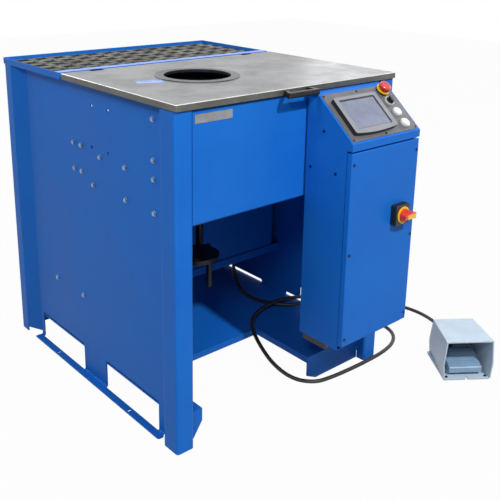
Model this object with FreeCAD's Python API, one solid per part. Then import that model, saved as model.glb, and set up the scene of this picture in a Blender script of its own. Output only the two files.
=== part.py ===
import FreeCAD, Part
import math
import os

from FreeCAD import Vector

# Vertical hose crimping press: a folded-sheet stand with a hinged steel table, an eight-die crimping
# head under the table opening, a hydraulic unit behind it, a control cabinet in front and a foot pedal.
# Millimetres. While the pieces are made, x runs right from the table's left edge, y runs back from the
# front posts and z is the height above the floor. At the end everything moves so that the origin is
# the middle of the footprint.

# Stand
TABLE_HEIGHT = 1000.0
TABLE_WIDTH = 850.0
TABLE_DEPTH = 578.0
FRAME_DEPTH = 975.0
WALL_OUTSET = 1.0
WALL_SHEET = 4.0
BEND = 5.0
POST_FACE = 59.0
POST_SIDE = 68.0
POST_RETURN = 33.0
PANEL_RECESS = 27.0
REAR_STRIP = 48.0
REAR_OBLIQUE = 60.0
REAR_RETURN = 60.0
FOOT_START = 94.0
FOOT_END = FRAME_DEPTH - 107.0
FOOT_RELIEF = 16.0
FLOOR_SLOT_LENGTH = 15.0
FLOOR_SLOT_RADIUS = 4.0
FLOOR_SLOT_SPREAD = 447.0
FLOOR_SLOT_FRONT = 265.0

# Fork openings in both side walls, and the notch where the pedal cable leaves
WINDOW_WIDTH = 292.0
WINDOW_TOP = 98.0
WINDOW_FRONT = 128.0
WINDOW_REAR = 558.0
WINDOW_CORNER = 6.0
CABLE_NOTCH_FRONT = 250.0
CABLE_NOTCH_WIDTH = 95.0
CABLE_NOTCH_TOP = WINDOW_TOP + 45.0

# Base plate
BASE_TOP = 88.0
BASE_SHEET = 5.0
BASE_FRONT = 34.0
BASE_BACK = FRAME_DEPTH - 10.0
NOTCH_LEFT = 113.0
NOTCH_RIGHT = TABLE_WIDTH - 302.0
NOTCH_DEPTH = 285.0
NOTCH_LIP = 22.0
LEFT_FOOT_CUT = (32.0, 48.0)
RIGHT_FOOT_CUT = (40.0, 20.0)
REAR_FOOT_WIDTH = 92.0

# Front and back covers
FRONT_PANEL_BOTTOM = TABLE_HEIGHT - 333.0
FRONT_PANEL_RECESS = 4.0
COVER_SHEET = 2.5
COVER_RETURN = 18.0
BACK_PANEL_BOTTOM = 112.0
LOUVRE_COUNT = 9
LOUVRE_PITCH = 26.0
LOUVRE_LENGTH = 300.0
LOUVRE_HEIGHT = 9.0
LOUVRE_BLOCKS = (260.0, TABLE_HEIGHT - 300.0)

# Table lid and its ring. The lid's front edge stands a little before the front posts.
LID_FRONT = -6.0
LID_SHEET = 3.0
LID_SKIRT = 18.0
LID_GAP = 2.0
RING_OUTER = 128.0
RING_INNER = 100.5
RING_HEIGHT = 3.0
RING_BEVEL = 1.5
RING_SCREWS = 6
HINGE_X = (116.0, TABLE_WIDTH - 123.0)
HINGE_WIDTH = 42.0
HINGE_RADIUS = 4.0
HINGE_PIN_RADIUS = 2.0
HINGE_BACK = 4.8
HINGE_DROP = 2.5
HANDLE_ROOTS = (TABLE_WIDTH - 478.0, TABLE_WIDTH - 390.0)
HANDLE_BAR = (TABLE_WIDTH - 506.0, TABLE_WIDTH - 384.0)
HANDLE_REACH = 42.0
HANDLE_THICK = 12.0
HANDLE_HEIGHT = 16.0

# Rear rim and tread plate
RIM_GAP = 10.0
RIM_SHEET = 3.0
RIM_OVERHANG = 8.0
RIM_LAP = 8.0
RIM_LEDGE = 26.0
RIM_CORNER = 6.0
RIM_FRONT_BAR = 16.0
TREAD_SHEET = 5.0

# Crimping head
AXIS_X = 308.0
AXIS_Y = 309.0
SUPPORT_BOTTOM = TABLE_HEIGHT - 345.0
SUPPORT_SHEET = 12.0
SUPPORT_FRONT = 103.0
SUPPORT_BACK = 578.0
SUPPORT_FLANGE = 154.0
SUPPORT_HOLE = 75.0
HEAD_PLATE = 22.0
HEAD_TOP = TABLE_HEIGHT - 32.0
HEAD_RADIUS = 200.0
HEAD_BORE = 178.0
HEAD_HOLE = 56.0
DIES = 8
DIE_OPEN_RADIUS = 44.0
DIE_STROKE = 14.0
WEDGE_SLOPE = 0.25
WEDGE_TOP_APOTHEM = 150.0
DIE_SIDE_GAP = 0.5
DIE_INSERT = 12.0
DIE_KEY_WIDTH = 12.0
DIE_KEY_HEIGHT = 5.0
DIE_KEY_LENGTH = 26.0
RUN_GAP = 0.3
BORE_GAP = 0.05
HEAD_BOLTS = 8
HEAD_BOLT_CIRCLE = 189.0
HEAD_BOLT_RADIUS = 6.0
HEAD_BOLT_START = 180.0 / HEAD_BOLTS
HEAD_BOLT_GRIP = 28.0
HEAD_BOLT_HEAD = (9.5, 10.0)

# Depth stop under the head
STOP_TOP = SUPPORT_BOTTOM - 225.0
STOP_RADIUS = 70.0
STOP_THICK = 16.0
STOP_OFFSET = (61.0, 70.0)
STOP_COLUMN_RADIUS = 12.5
STOP_COLUMN_END = SUPPORT_BOTTOM - 278.0
STOP_CLAMP_RADIUS = 22.0
STOP_CLAMP_HEIGHT = 30.0
STOP_ARM_WIDTH = 30.0
STOP_ROD = (47.0, 0.0)
STOP_ROD_RADIUS = 9.5
STOP_ROD_LENGTH = 114.0
STOP_PAD = (-37.0, -41.0)

# Hydraulic unit
TRAY_BOTTOM = 260.0
TRAY_HEIGHT = 27.0
TRAY_FRONT = 463.0
TRAY_BACK = 779.0
TRAY_SHEET = 3.0
TRAY_EAR = 44.0
TANK_LEFT = 40.0
TANK_RIGHT = TABLE_WIDTH - 60.0
TANK_TOP = SUPPORT_BOTTOM - 36.0
TANK_MARGIN = 6.0
TANK_CORNER = 10.0
TANK_SHEET = 3.0
TANK_FLOOR = 22.0
MOTOR_RADIUS = 72.0
MOTOR_LENGTH = 240.0
MOTOR_START = TABLE_WIDTH / 2 + 16.0
MOTOR_Y = SUPPORT_BACK + MOTOR_RADIUS + 6.0
MOTOR_HEIGHT = 96.0
MOTOR_FIN = 6.0
MOTOR_FIN_THICK = 4.0
MOTOR_FINS = 12
MOTOR_COWL = 46.0
MOTOR_FLANGE = 12.0
MOTOR_FOOT = (50.0, 170.0, 60.0)
MOTOR_LEGS = (60.0, 160.0, 40.0)
TERMINAL_BOX = (70.0, 150.0, 40.0, 50.0, 100.0)
TANK_LID = 6.0
PUMP_BELL = (50.0, 60.0)
PUMP_BODY = (38.0, 70.0)
SUCTION_RADIUS = 13.0
VALVE_SIZE = (90.0, 96.0, 120.0)
VALVE_X = TABLE_WIDTH / 2 - 224.0
PIPE_RADIUS = 9.0
FILLER_AT = (82.0, MOTOR_Y)

# Control cabinet
CABINET_LEFT = TABLE_WIDTH - 386.0
CABINET_WIDTH = 298.0
CABINET_DEPTH = 177.0
CABINET_BACK = 4.0
CABINET_BOTTOM = 231.0
CABINET_SHEET = 2.0
COVER_BOTTOM = CABINET_BOTTOM + 16.0
COVER_TOP = TABLE_HEIGHT - 165.5
COVER_TRAY = 17.0
COVER_GAP = 2.0
COVER_SCREW_Z = (COVER_BOTTOM + 23.0, 535.0, COVER_TOP - 33.0)
LIP_BOTTOM = COVER_TOP + 5.5
LIP_TOP = TABLE_HEIGHT - 139.0
COVER_SCREW_INSET = 10.0
SIDE_SCREWS = ((-70.0, COVER_TOP + 44.0), (-23.0, COVER_TOP - 69.0), (-120.0, COVER_TOP - 69.0))
DOME_SCREW = (4.0, 2.5)
RAIL_HEIGHT = 30.0
RAIL_LOWS = (TABLE_HEIGHT - 280.0, TABLE_HEIGHT - 80.0)
RAIL_INSET = 20.0
STRAP_LOW = CABINET_BOTTOM + 60.0
STRAP_HEIGHT = 40.0
STRAP_REACH = 90.0
ENTRY_LENGTH = 114.0
ENTRY_HEIGHT = 22.0
CONSOLE_TOP = TABLE_HEIGHT - 21.0
CONSOLE_TOP_SETBACK = 40.0
CONSOLE_PLATE = 2.0
CONSOLE_MARGIN = 6.0
BUTTON_U = 251.5
BUTTON_V = 31.5
BUTTON_PITCH = 41.2
BUTTON_RADIUS = 15.0
BUTTON_CAP_RADIUS = 13.0
BUTTON_TRAVEL = 3.0
BARREL_RADIUS = 11.4
BARREL_BORE = 9.0
BARREL_DEPTH = 30.0
BEZEL_FLOOR = 1.0
BEZEL_HEIGHT = 5.0
SCREEN_U = 23.0
SCREEN_V = 25.0
SCREEN_WIDTH = 181.0
SCREEN_HEIGHT = 124.0
SCREEN_THICK = 14.0
GLASS_MARGIN = 17.0
ESTOP_CAP_RADIUS = 18.5
ESTOP_CAP_HEIGHT = 12.0
ESTOP_TRAVEL = 5.0
ESTOP_COLLAR = 6.0
ESTOP_BASE_HEIGHT = 10.0
ESTOP_BASE_RADIUS = 19.0
ESTOP_STEM_RADIUS = 7.7
ESTOP_STEM_TOP = 22.0
SWITCH_X = TABLE_WIDTH - 169.0
SWITCH_Z = TABLE_HEIGHT - 382.0
SWITCH_SIZE = 62.0
SWITCH_DEPTH = 22.0

# Foot pedal
PEDAL_FRONT = (TABLE_WIDTH + 114.0, -299.0)
PEDAL_TURN = -36.3
PEDAL_WIDTH = 160.0
PEDAL_LENGTH = 180.0
PEDAL_HEIGHT = 142.0
PEDAL_SHELL = 4.0
PEDAL_BASE = 6.0
PEDAL_NARROW = 10.0
PEDAL_REAR_SLOPE = 12.0
TREADLE_WIDTH = 110.0
TREADLE_TOP = ((20.0, 37.0), (62.0, 46.0), (100.0, 54.0))
TREADLE_NOSE_LOW = 17.0
TREADLE_PIVOT = (138.0, 34.0)
TREADLE_RIBS = 7
PEDAL_GLAND_Z = 24.0
GLAND_NUT = 14.0

# Pedal cable, from the gland under the tray to the gland on the pedal
CABLE_RADIUS = 6.5
CABLE_START = (TABLE_WIDTH - 143.0, 602.0, TRAY_BOTTOM - 23.0)
CABLE_POINTS = [
    CABLE_START, (707, 602, 188), (699, 583, 140), (688, 541, 107), (682, 488, 96),
    (691, 428, 95), (720, 366, 95), (768, 316, 97), (827, 287, 106), (889, 276, 82),
    (938, 255, 40), (988, 224, 11), (1028, 172, 6.6), (1039, 108, 6.6), (1015, 45, 6.6),
    (957, 4, 6.6), (881, -12, 6.6), (794, -15, 6.6), (706, -13, 6.6), (623, -7, 6.6),
    (557, 6, 6.6), (508, 60, 12), (483, 130, 44), (492, 212, 83), (520, 283, 109),
    (574, 334, 106), (642, 361, 108), (716, 366, 110), (786, 350, 110), (857, 325, 100),
    (927, 313, 54), (998, 318, 14), (1074, 299, 6.6), (1148, 259, 6.6), (1206, 196, 6.6),
    (1228, 118, 6.6), (1218, 37, 9), (1175, -40, 19),
]
CABLE_LEAD = 55.0

WALL_TOP = TABLE_HEIGHT - LID_SKIRT - LID_GAP
WALL_OUTER = -WALL_OUTSET
PANEL_X = WALL_OUTER + PANEL_RECESS
PANEL_INNER = PANEL_X + WALL_SHEET
FLOOR_SLOT_X = (WALL_OUTER + PANEL_X - 4) / 2
POST_INNER = WALL_OUTER + POST_FACE
MID_X = TABLE_WIDTH / 2
HEAD_LOW = SUPPORT_BOTTOM + SUPPORT_SHEET
CYLINDER_LOW = HEAD_LOW + HEAD_PLATE
CYLINDER_HIGH = HEAD_TOP - HEAD_PLATE
PISTON_STROKE = DIE_STROKE / WEDGE_SLOPE
PISTON_LENGTH = CYLINDER_HIGH - CYLINDER_LOW - PISTON_STROKE - 2 * RUN_GAP
CABINET_RIGHT = CABINET_LEFT + CABINET_WIDTH
CONSOLE_RUN = CABINET_DEPTH - CONSOLE_TOP_SETBACK
CONSOLE_RISE = CONSOLE_TOP - LIP_TOP
CONSOLE_ANGLE = math.degrees(math.atan2(CONSOLE_RISE, CONSOLE_RUN))
CONSOLE_LENGTH = math.hypot(CONSOLE_RUN, CONSOLE_RISE)
AXIS = Vector(AXIS_X, AXIS_Y, 0)
X_DIR = Vector(1, 0, 0)
Y_DIR = Vector(0, 1, 0)
Z_DIR = Vector(0, 0, 1)

parts = {}


# Basic shapes

def box(x0, x1, y0, y1, z0, z1):
    return Part.makeBox(x1 - x0, y1 - y0, z1 - z0, Vector(x0, y0, z0))


def rod(start, direction, radius, length):
    return Part.makeCylinder(radius, length, start, direction)


def disc(x, y, z0, z1, radius):
    return Part.makeCylinder(radius, z1 - z0, Vector(x, y, z0))


def prism(points, thickness, plane="xy", at=0.0):
    """Extrudes a polygon. Its points are in the named plane, and it grows along the third axis."""
    axes = {"xy": (0, 1, 2), "yz": (1, 2, 0), "xz": (0, 2, 1)}[plane]
    corners = []
    for first, second in points:
        place = [0.0, 0.0, 0.0]
        place[axes[0]], place[axes[1]], place[axes[2]] = first, second, at
        corners.append(Vector(*place))
    face = Part.Face(Part.makePolygon(corners + corners[:1]))
    grow = [0.0, 0.0, 0.0]
    grow[axes[2]] = thickness
    return face.extrude(Vector(*grow))


def rounded_plate(x0, x1, y0, y1, z0, z1, radius):
    """A plate with round corners, lying flat."""
    plate = box(x0, x1, y0, y1, z0, z1)
    upright = [e for e in plate.Edges if abs(e.tangentAt(e.FirstParameter).z) > 0.99]
    return plate.makeFillet(radius, upright)


def fuse(shapes):
    shapes = list(shapes)
    if len(shapes) == 1:
        return shapes[0]
    return shapes[0].multiFuse(shapes[1:]).removeSplitter()


def mirrored(shape):
    """The same piece on the other side of the stand."""
    return shape.mirror(Vector(MID_X, 0, 0), X_DIR)


def unit(a, b):
    length = math.hypot(b[0] - a[0], b[1] - a[1])
    return ((b[0] - a[0]) / length, (b[1] - a[1]) / length)


def bent_sheet(points, sheet, bend, height, plane="xy", at=0.0):
    """Folded sheet. The line of points is its outer skin, its metal is on the line's right, and every
    fold has the inner radius bend."""
    skins = ([], [])
    cursor = []
    for side, offset in ((0, 0.0), (1, sheet)):
        track = []
        for i, point in enumerate(points):
            before = unit(points[i - 1], point) if i else unit(point, points[1])
            after = unit(point, points[i + 1]) if i < len(points) - 1 else before
            turn = math.atan2(before[0] * after[1] - before[1] * after[0],
                              before[0] * after[0] + before[1] * after[1])
            right = (before[1], -before[0])
            if abs(turn) < 1e-6:
                track.append([(point[0] + right[0] * offset, point[1] + right[1] * offset)])
                continue
            outside = bend + sheet if turn < 0 else bend
            setback = outside * math.tan(abs(turn) / 2)
            start = (point[0] - before[0] * setback, point[1] - before[1] * setback)
            to_centre = 1 if turn < 0 else -1
            centre = (start[0] + right[0] * to_centre * outside, start[1] + right[1] * to_centre * outside)
            radius = outside - offset * to_centre
            arc = []
            for step in (0.0, 0.5, 1.0):
                swing = math.atan2(start[1] - centre[1], start[0] - centre[0]) + turn * step
                arc.append((centre[0] + radius * math.cos(swing), centre[1] + radius * math.sin(swing)))
            track.append(arc)
        cursor.append(track)
    axes = {"xy": (0, 1, 2), "yz": (1, 2, 0), "xz": (0, 2, 1)}[plane]

    def spot(p):
        place = [0.0, 0.0, 0.0]
        place[axes[0]], place[axes[1]], place[axes[2]] = p[0], p[1], at
        return Vector(*place)

    for side in (0, 1):
        last = None
        for knot in cursor[side]:
            if last is not None:
                skins[side].append(Part.LineSegment(spot(last), spot(knot[0])).toShape())
            if len(knot) == 3:
                skins[side].append(Part.Arc(*[spot(p) for p in knot]).toShape())
            last = knot[-1]
    ends = [Part.LineSegment(spot(cursor[0][i][i]), spot(cursor[1][i][i])).toShape() for i in (0, -1)]
    outline = Part.Wire(Part.__sortEdges__(skins[0] + skins[1] + ends))
    grow = [0.0, 0.0, 0.0]
    grow[axes[2]] = height
    return Part.Face(outline).extrude(Vector(*grow))


def on_circle(count, radius, start=0.0, centre=AXIS):
    """Places evenly round a circle about the crimping axis."""
    for i in range(count):
        angle = math.radians(start + i * 360.0 / count)
        yield centre + Vector(radius * math.cos(angle), radius * math.sin(angle), 0)


def flange_bolt(place, direction, head_radius, head_height, shank_radius, shank_length):
    """A hexagon head with its washer face and a plain shank behind it."""
    corners = []
    for i in range(7):
        angle = math.radians(60.0 * i)
        corners.append(Vector(head_radius * math.cos(angle), head_radius * math.sin(angle), 0))
    head = Part.Face(Part.makePolygon(corners)).extrude(Vector(0, 0, head_height))
    washer = Part.makeCylinder(head_radius * 1.2, head_height * 0.25)
    shank = Part.makeCylinder(shank_radius, shank_length, Vector(0, 0, -shank_length))
    bolt = fuse([head, washer, shank])
    bolt.Placement = FreeCAD.Placement(place, FreeCAD.Rotation(Z_DIR, direction))
    return bolt


# Stand

LOWER_BOLT_Z = TRAY_BOTTOM + 20.0
SUPPORT_BOLT_Z = (SUPPORT_BOTTOM + 21.0, SUPPORT_BOTTOM + 49.0, SUPPORT_BOTTOM + 117.0, SUPPORT_BOTTOM + 131.0)
WALL_BOLTS = [(132, TABLE_HEIGHT - 63.0), (132, TABLE_HEIGHT - 175.0), (132, SUPPORT_BOLT_Z[2]),
              (132, SUPPORT_BOLT_Z[0]), (274, SUPPORT_BOLT_Z[2]), (409, SUPPORT_BOLT_Z[2]),
              (274, SUPPORT_BOLT_Z[0]), (453, SUPPORT_BOLT_Z[0]), (518, SUPPORT_BOLT_Z[3]),
              (565, SUPPORT_BOLT_Z[3]), (520, SUPPORT_BOLT_Z[1]), (564, SUPPORT_BOLT_Z[1]),
              (544, LOWER_BOLT_Z), (719, LOWER_BOLT_Z)]
WALL_HOLES = [(359, TABLE_HEIGHT - 80.0), (450, TABLE_HEIGHT - 80.0), (363, TABLE_HEIGHT - 207.0),
              (455, TABLE_HEIGHT - 207.0)]
WALL_BOLT_RADIUS = 4.0
WALL_HOLE_RADIUS = 5.5


def side_wall():
    """The left wall: one sheet folded into a front post, a recessed panel and a rear post, with a foot."""
    line = [
        (POST_INNER, POST_RETURN),
        (POST_INNER, 0),
        (WALL_OUTER, 0),
        (WALL_OUTER, POST_SIDE),
        (PANEL_X, POST_SIDE),
        (PANEL_X, FRAME_DEPTH - REAR_STRIP - REAR_OBLIQUE),
        (WALL_OUTER, FRAME_DEPTH - REAR_STRIP),
        (WALL_OUTER, FRAME_DEPTH),
        (WALL_OUTER + REAR_RETURN, FRAME_DEPTH),
    ]
    wall = bent_sheet(line, WALL_SHEET, BEND, WALL_TOP)
    panel_end = FRAME_DEPTH - REAR_STRIP - REAR_OBLIQUE
    wall = wall.cut(box(WALL_OUTER - 1, PANEL_INNER + 20, POST_SIDE + 12, FRAME_DEPTH - REAR_STRIP,
                        -1, FOOT_RELIEF))
    foot_line = [(WALL_OUTER, WALL_SHEET), (PANEL_X, WALL_SHEET), (PANEL_X, FOOT_RELIEF)]
    foot = bent_sheet(foot_line, WALL_SHEET, BEND, panel_end - FOOT_START - 8, "xz", FOOT_START + 8)
    flat = rounded_plate(WALL_OUTER, PANEL_X - 4, FOOT_START, FOOT_END, 0, WALL_SHEET, 8.0)
    wall = fuse([wall, foot, flat])
    for start in (WINDOW_FRONT, WINDOW_REAR):
        window = rounded_plate(-WINDOW_TOP, 20, start, start + WINDOW_WIDTH, 0, 60, WINDOW_CORNER)
        window.rotate(Vector(), Y_DIR, 90)
        window.translate(Vector(PANEL_X - 4, 0, 0))
        wall = wall.cut(window)
    for y in (FLOOR_SLOT_FRONT, FLOOR_SLOT_FRONT + FLOOR_SLOT_SPREAD):
        reach = FLOOR_SLOT_LENGTH / 2
        wall = wall.cut(rounded_plate(FLOOR_SLOT_X - reach, FLOOR_SLOT_X + reach, y - FLOOR_SLOT_RADIUS,
                                      y + FLOOR_SLOT_RADIUS, -1, WALL_SHEET + 1, FLOOR_SLOT_RADIUS - 0.01))
    for radius, places in ((WALL_HOLE_RADIUS, WALL_HOLES), (WALL_BOLT_RADIUS + RUN_GAP, WALL_BOLTS)):
        for y, z in places:
            wall = wall.cut(rod(Vector(PANEL_X - 1, y, z), X_DIR, radius, WALL_SHEET + 2))
    return wall


def base_plate():
    """The raised floor of the stand, notched at the front, with folded feet at its four corners."""
    low = BASE_TOP - BASE_SHEET
    right_end = TABLE_WIDTH - PANEL_INNER
    arm_end = TABLE_WIDTH - POST_INNER
    outline = [
        (PANEL_INNER, POST_SIDE), (POST_INNER, POST_SIDE), (POST_INNER, BASE_FRONT),
        (NOTCH_LEFT, BASE_FRONT), (NOTCH_LEFT, NOTCH_DEPTH), (NOTCH_RIGHT, NOTCH_DEPTH),
        (NOTCH_RIGHT, BASE_FRONT), (arm_end, BASE_FRONT), (arm_end, POST_SIDE),
        (right_end, POST_SIDE), (right_end, BASE_BACK), (PANEL_INNER, BASE_BACK),
    ]
    plate = prism(outline, BASE_SHEET, at=low)
    lip_low = BASE_TOP - NOTCH_LIP
    lips = [
        box(NOTCH_LEFT - BASE_SHEET, NOTCH_RIGHT + BASE_SHEET, NOTCH_DEPTH, NOTCH_DEPTH + BASE_SHEET,
            lip_low, low),
        box(NOTCH_RIGHT, NOTCH_RIGHT + BASE_SHEET, BASE_FRONT, NOTCH_DEPTH, lip_low, low),
        box(NOTCH_LEFT - BASE_SHEET, NOTCH_LEFT, BASE_FRONT, NOTCH_DEPTH, lip_low, low),
    ]
    across, up = LEFT_FOOT_CUT
    left_foot = [(POST_INNER, 0), (NOTCH_LEFT - across, 0), (NOTCH_LEFT, up), (NOTCH_LEFT, low),
                 (POST_INNER, low)]
    across, up = RIGHT_FOOT_CUT
    right_foot = [(NOTCH_RIGHT + across, 0), (arm_end, 0), (arm_end, low), (NOTCH_RIGHT, low),
                  (NOTCH_RIGHT, up)]
    feet = [prism(left_foot, BASE_SHEET, "xz", BASE_FRONT), prism(right_foot, BASE_SHEET, "xz", BASE_FRONT)]
    for start in (PANEL_INNER, right_end - REAR_FOOT_WIDTH):
        feet.append(box(start, start + REAR_FOOT_WIDTH, BASE_BACK - BASE_SHEET, BASE_BACK, 0, low))
    return fuse([plate] + lips + feet)


def front_panel():
    line = [
        (FRONT_PANEL_RECESS + COVER_RETURN, WALL_TOP),
        (FRONT_PANEL_RECESS, WALL_TOP),
        (FRONT_PANEL_RECESS, FRONT_PANEL_BOTTOM),
        (FRONT_PANEL_RECESS + COVER_RETURN, FRONT_PANEL_BOTTOM),
    ]
    width = TABLE_WIDTH - 2 * POST_INNER
    return bent_sheet(list(reversed(line)), COVER_SHEET, BEND, width, "yz", POST_INNER)


def back_panel():
    y = FRAME_DEPTH - WALL_SHEET - COVER_SHEET
    side = WALL_OUTER + REAR_RETURN - 20
    panel = box(side, TABLE_WIDTH - side, y, y + COVER_SHEET, BACK_PANEL_BOTTOM, WALL_TOP - 20)
    for block in LOUVRE_BLOCKS:
        for i in range(LOUVRE_COUNT):
            z = block + i * LOUVRE_PITCH - LOUVRE_COUNT * LOUVRE_PITCH / 2
            panel = panel.cut(box(MID_X - LOUVRE_LENGTH / 2, MID_X + LOUVRE_LENGTH / 2, y - 1,
                                  y + COVER_SHEET + 1, z, z + LOUVRE_HEIGHT))
    return panel


def wall_bolts():
    bolts = []
    for y, z in WALL_BOLTS:
        bolts.append(flange_bolt(Vector(PANEL_X, y, z), Vector(-1, 0, 0), 7.0, 5.5, WALL_BOLT_RADIUS, 9.0))
    return Part.makeCompound(bolts + [mirrored(bolt) for bolt in bolts])


parts["left_wall"] = side_wall()
cable_notch = box(TABLE_WIDTH - PANEL_INNER - 5, TABLE_WIDTH, CABLE_NOTCH_FRONT,
                  CABLE_NOTCH_FRONT + CABLE_NOTCH_WIDTH, WINDOW_TOP - 20, CABLE_NOTCH_TOP)
parts["right_wall"] = mirrored(parts["left_wall"]).cut(cable_notch)
parts["base_plate"] = base_plate()
parts["front_panel"] = front_panel()
parts["back_panel"] = back_panel()
parts["wall_bolts"] = wall_bolts()


# Table lid with its ring, handle and hinges

LID_TOP = TABLE_HEIGHT
HINGE_Y = TABLE_DEPTH + HINGE_BACK
HINGE_Z = LID_TOP - HINGE_DROP


def table_lid():
    lid = box(0, TABLE_WIDTH, LID_FRONT, TABLE_DEPTH, LID_TOP - LID_SKIRT, LID_TOP)
    soft = [e for e in lid.Edges if e.BoundBox.ZMin > LID_TOP - LID_SKIRT + 1 or e.BoundBox.ZLength > 1]
    lid = lid.makeFillet(2.5, soft)
    lid = lid.cut(box(LID_SHEET, TABLE_WIDTH - LID_SHEET, LID_FRONT + LID_SHEET, TABLE_DEPTH - LID_SHEET,
                      LID_TOP - LID_SKIRT - 1, LID_TOP - LID_SHEET))
    lid = lid.cut(disc(AXIS_X, AXIS_Y, LID_TOP - LID_SKIRT, LID_TOP + 1, RING_INNER + 6))
    for place in on_circle(RING_SCREWS, (RING_OUTER + RING_INNER) / 2, 30):
        lid = lid.cut(disc(place.x, place.y, LID_TOP - LID_SHEET - 1, LID_TOP + 1, 2.0))
    return lid


def table_ring():
    """Steel ring screwed on the lid round the opening, with a collar that hangs into it."""
    low, high = LID_TOP - LID_SHEET - 3, LID_TOP + RING_HEIGHT
    profile = [(RING_INNER, low), (RING_INNER + 5.5, low), (RING_INNER + 5.5, LID_TOP),
               (RING_OUTER, LID_TOP), (RING_OUTER, high - 1.0), (RING_OUTER - 1.0, high),
               (RING_INNER + RING_BEVEL, high), (RING_INNER, high - RING_BEVEL)]
    corners = [Vector(r, 0, z) for r, z in profile]
    ring = Part.Face(Part.makePolygon(corners + corners[:1])).revolve(Vector(), Z_DIR, 360)
    ring.translate(AXIS)
    for place in on_circle(RING_SCREWS, (RING_OUTER + RING_INNER) / 2, 30):
        ring = ring.cut(disc(place.x, place.y, LID_TOP - 1, high + 1, 2.5))
    return ring


def lid_handle():
    """A flat bow under the front edge, with splayed legs and a gap for the fingers."""
    high = LID_TOP - 4.0
    front = LID_FRONT - HANDLE_REACH
    outer = [(HANDLE_ROOTS[0] - 6, LID_FRONT), (HANDLE_BAR[0], front), (HANDLE_BAR[1], front),
             (HANDLE_ROOTS[1] + 4, LID_FRONT)]
    back = front + HANDLE_THICK
    inner = [(HANDLE_ROOTS[0] + 6, LID_FRONT + 1), (HANDLE_BAR[0] + 16, back), (HANDLE_BAR[1] - 14, back),
             (HANDLE_ROOTS[1] - 8, LID_FRONT + 1)]
    bow = prism(outer, HANDLE_HEIGHT, at=high - HANDLE_HEIGHT)
    grip = [e for e in bow.Edges if e.BoundBox.YMax < front + 1]
    bow = bow.makeFillet(5.0, grip)
    return bow.cut(prism(inner, HANDLE_HEIGHT + 2, at=high - HANDLE_HEIGHT - 1))


def hinge_parts():
    """Two lift hinges: the middle knuckle belongs to the lid, the outer two and the pin to the rim."""
    moving, fixed = [], []
    third = HINGE_WIDTH / 3
    for x in HINGE_X:
        start = x - HINGE_WIDTH / 2
        knuckle = rod(Vector(start + third + RUN_GAP, HINGE_Y, HINGE_Z), X_DIR, HINGE_RADIUS,
                      third - 2 * RUN_GAP)
        knuckle = knuckle.fuse(box(start + third + RUN_GAP, start + 2 * third - RUN_GAP, TABLE_DEPTH,
                                   HINGE_Y, HINGE_Z - HINGE_RADIUS, HINGE_Z - HINGE_RADIUS + 4))
        moving.append(knuckle.cut(rod(Vector(start, HINGE_Y, HINGE_Z), X_DIR, HINGE_PIN_RADIUS + BORE_GAP,
                                      HINGE_WIDTH)).removeSplitter())
        ears = [rod(Vector(start, HINGE_Y, HINGE_Z), X_DIR, HINGE_PIN_RADIUS, HINGE_WIDTH)]
        for ear in (start, start + 2 * third):
            ears.append(rod(Vector(ear, HINGE_Y, HINGE_Z), X_DIR, HINGE_RADIUS, third))
            ears.append(box(ear, ear + third, HINGE_Y, TABLE_DEPTH + RIM_GAP, HINGE_Z - HINGE_RADIUS,
                            HINGE_Z - HINGE_RADIUS + 4))
        fixed += ears
    return Part.makeCompound(moving), fixed


hinge_knuckles, hinge_ears = hinge_parts()
parts["table_lid"] = table_lid()
parts["table_ring"] = table_ring()
parts["lid_handle"] = lid_handle()
parts["lid_hinge_knuckles"] = hinge_knuckles


# Rear rim and tread plate

RIM_LEFT = WALL_OUTER
RIM_RIGHT = TABLE_WIDTH - RIM_LEFT
RIM_FRONT = TABLE_DEPTH + RIM_GAP
RIM_BACK = FRAME_DEPTH + RIM_OVERHANG
LEDGE_TOP = WALL_TOP + RIM_SHEET


def rear_rim():
    """A shallow open frame on the wall tops that carries the tread plate on a ledge. It laps over the
    back of the stand."""
    t = RIM_SHEET
    front = RIM_FRONT + t
    skin = rounded_plate(RIM_LEFT, RIM_RIGHT, RIM_FRONT, RIM_BACK, WALL_TOP, TABLE_HEIGHT, RIM_CORNER)
    skin = skin.cut(rounded_plate(RIM_LEFT + t, RIM_RIGHT - t, front, RIM_BACK - t, LEDGE_TOP,
                                  TABLE_HEIGHT + 1, RIM_CORNER - t))
    skin = skin.cut(box(RIM_LEFT + RIM_LEDGE, RIM_RIGHT - RIM_LEDGE, RIM_FRONT + RIM_LEDGE,
                        RIM_BACK - RIM_LEDGE, WALL_TOP - 1, LEDGE_TOP + 1))
    skirt = box(RIM_LEFT + RIM_CORNER, RIM_RIGHT - RIM_CORNER, RIM_BACK - t, RIM_BACK, WALL_TOP - RIM_LAP,
                WALL_TOP)
    return skin.fuse(skirt)


def tread_plate():
    edge = RIM_SHEET + RUN_GAP
    return rounded_plate(RIM_LEFT + edge, RIM_RIGHT - edge, RIM_FRONT + edge, RIM_BACK - edge, LEDGE_TOP,
                         LEDGE_TOP + TREAD_SHEET, 4.0)


parts["rear_rim"] = fuse([rear_rim()] + hinge_ears)
parts["tread_plate"] = tread_plate()


# Crimping head

def octagon(apothem, z, turn=0.0):
    reach = apothem / math.cos(math.pi / DIES)
    corners = []
    for place in on_circle(DIES, reach, 180.0 / DIES + turn):
        corners.append(Vector(place.x, place.y, z))
    return Part.makePolygon(corners + corners[:1])


def wedge_apothem(z):
    """Distance from the axis to the dies' sloping backs while the head is open."""
    return WEDGE_TOP_APOTHEM - (CYLINDER_HIGH - z) * WEDGE_SLOPE


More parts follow.
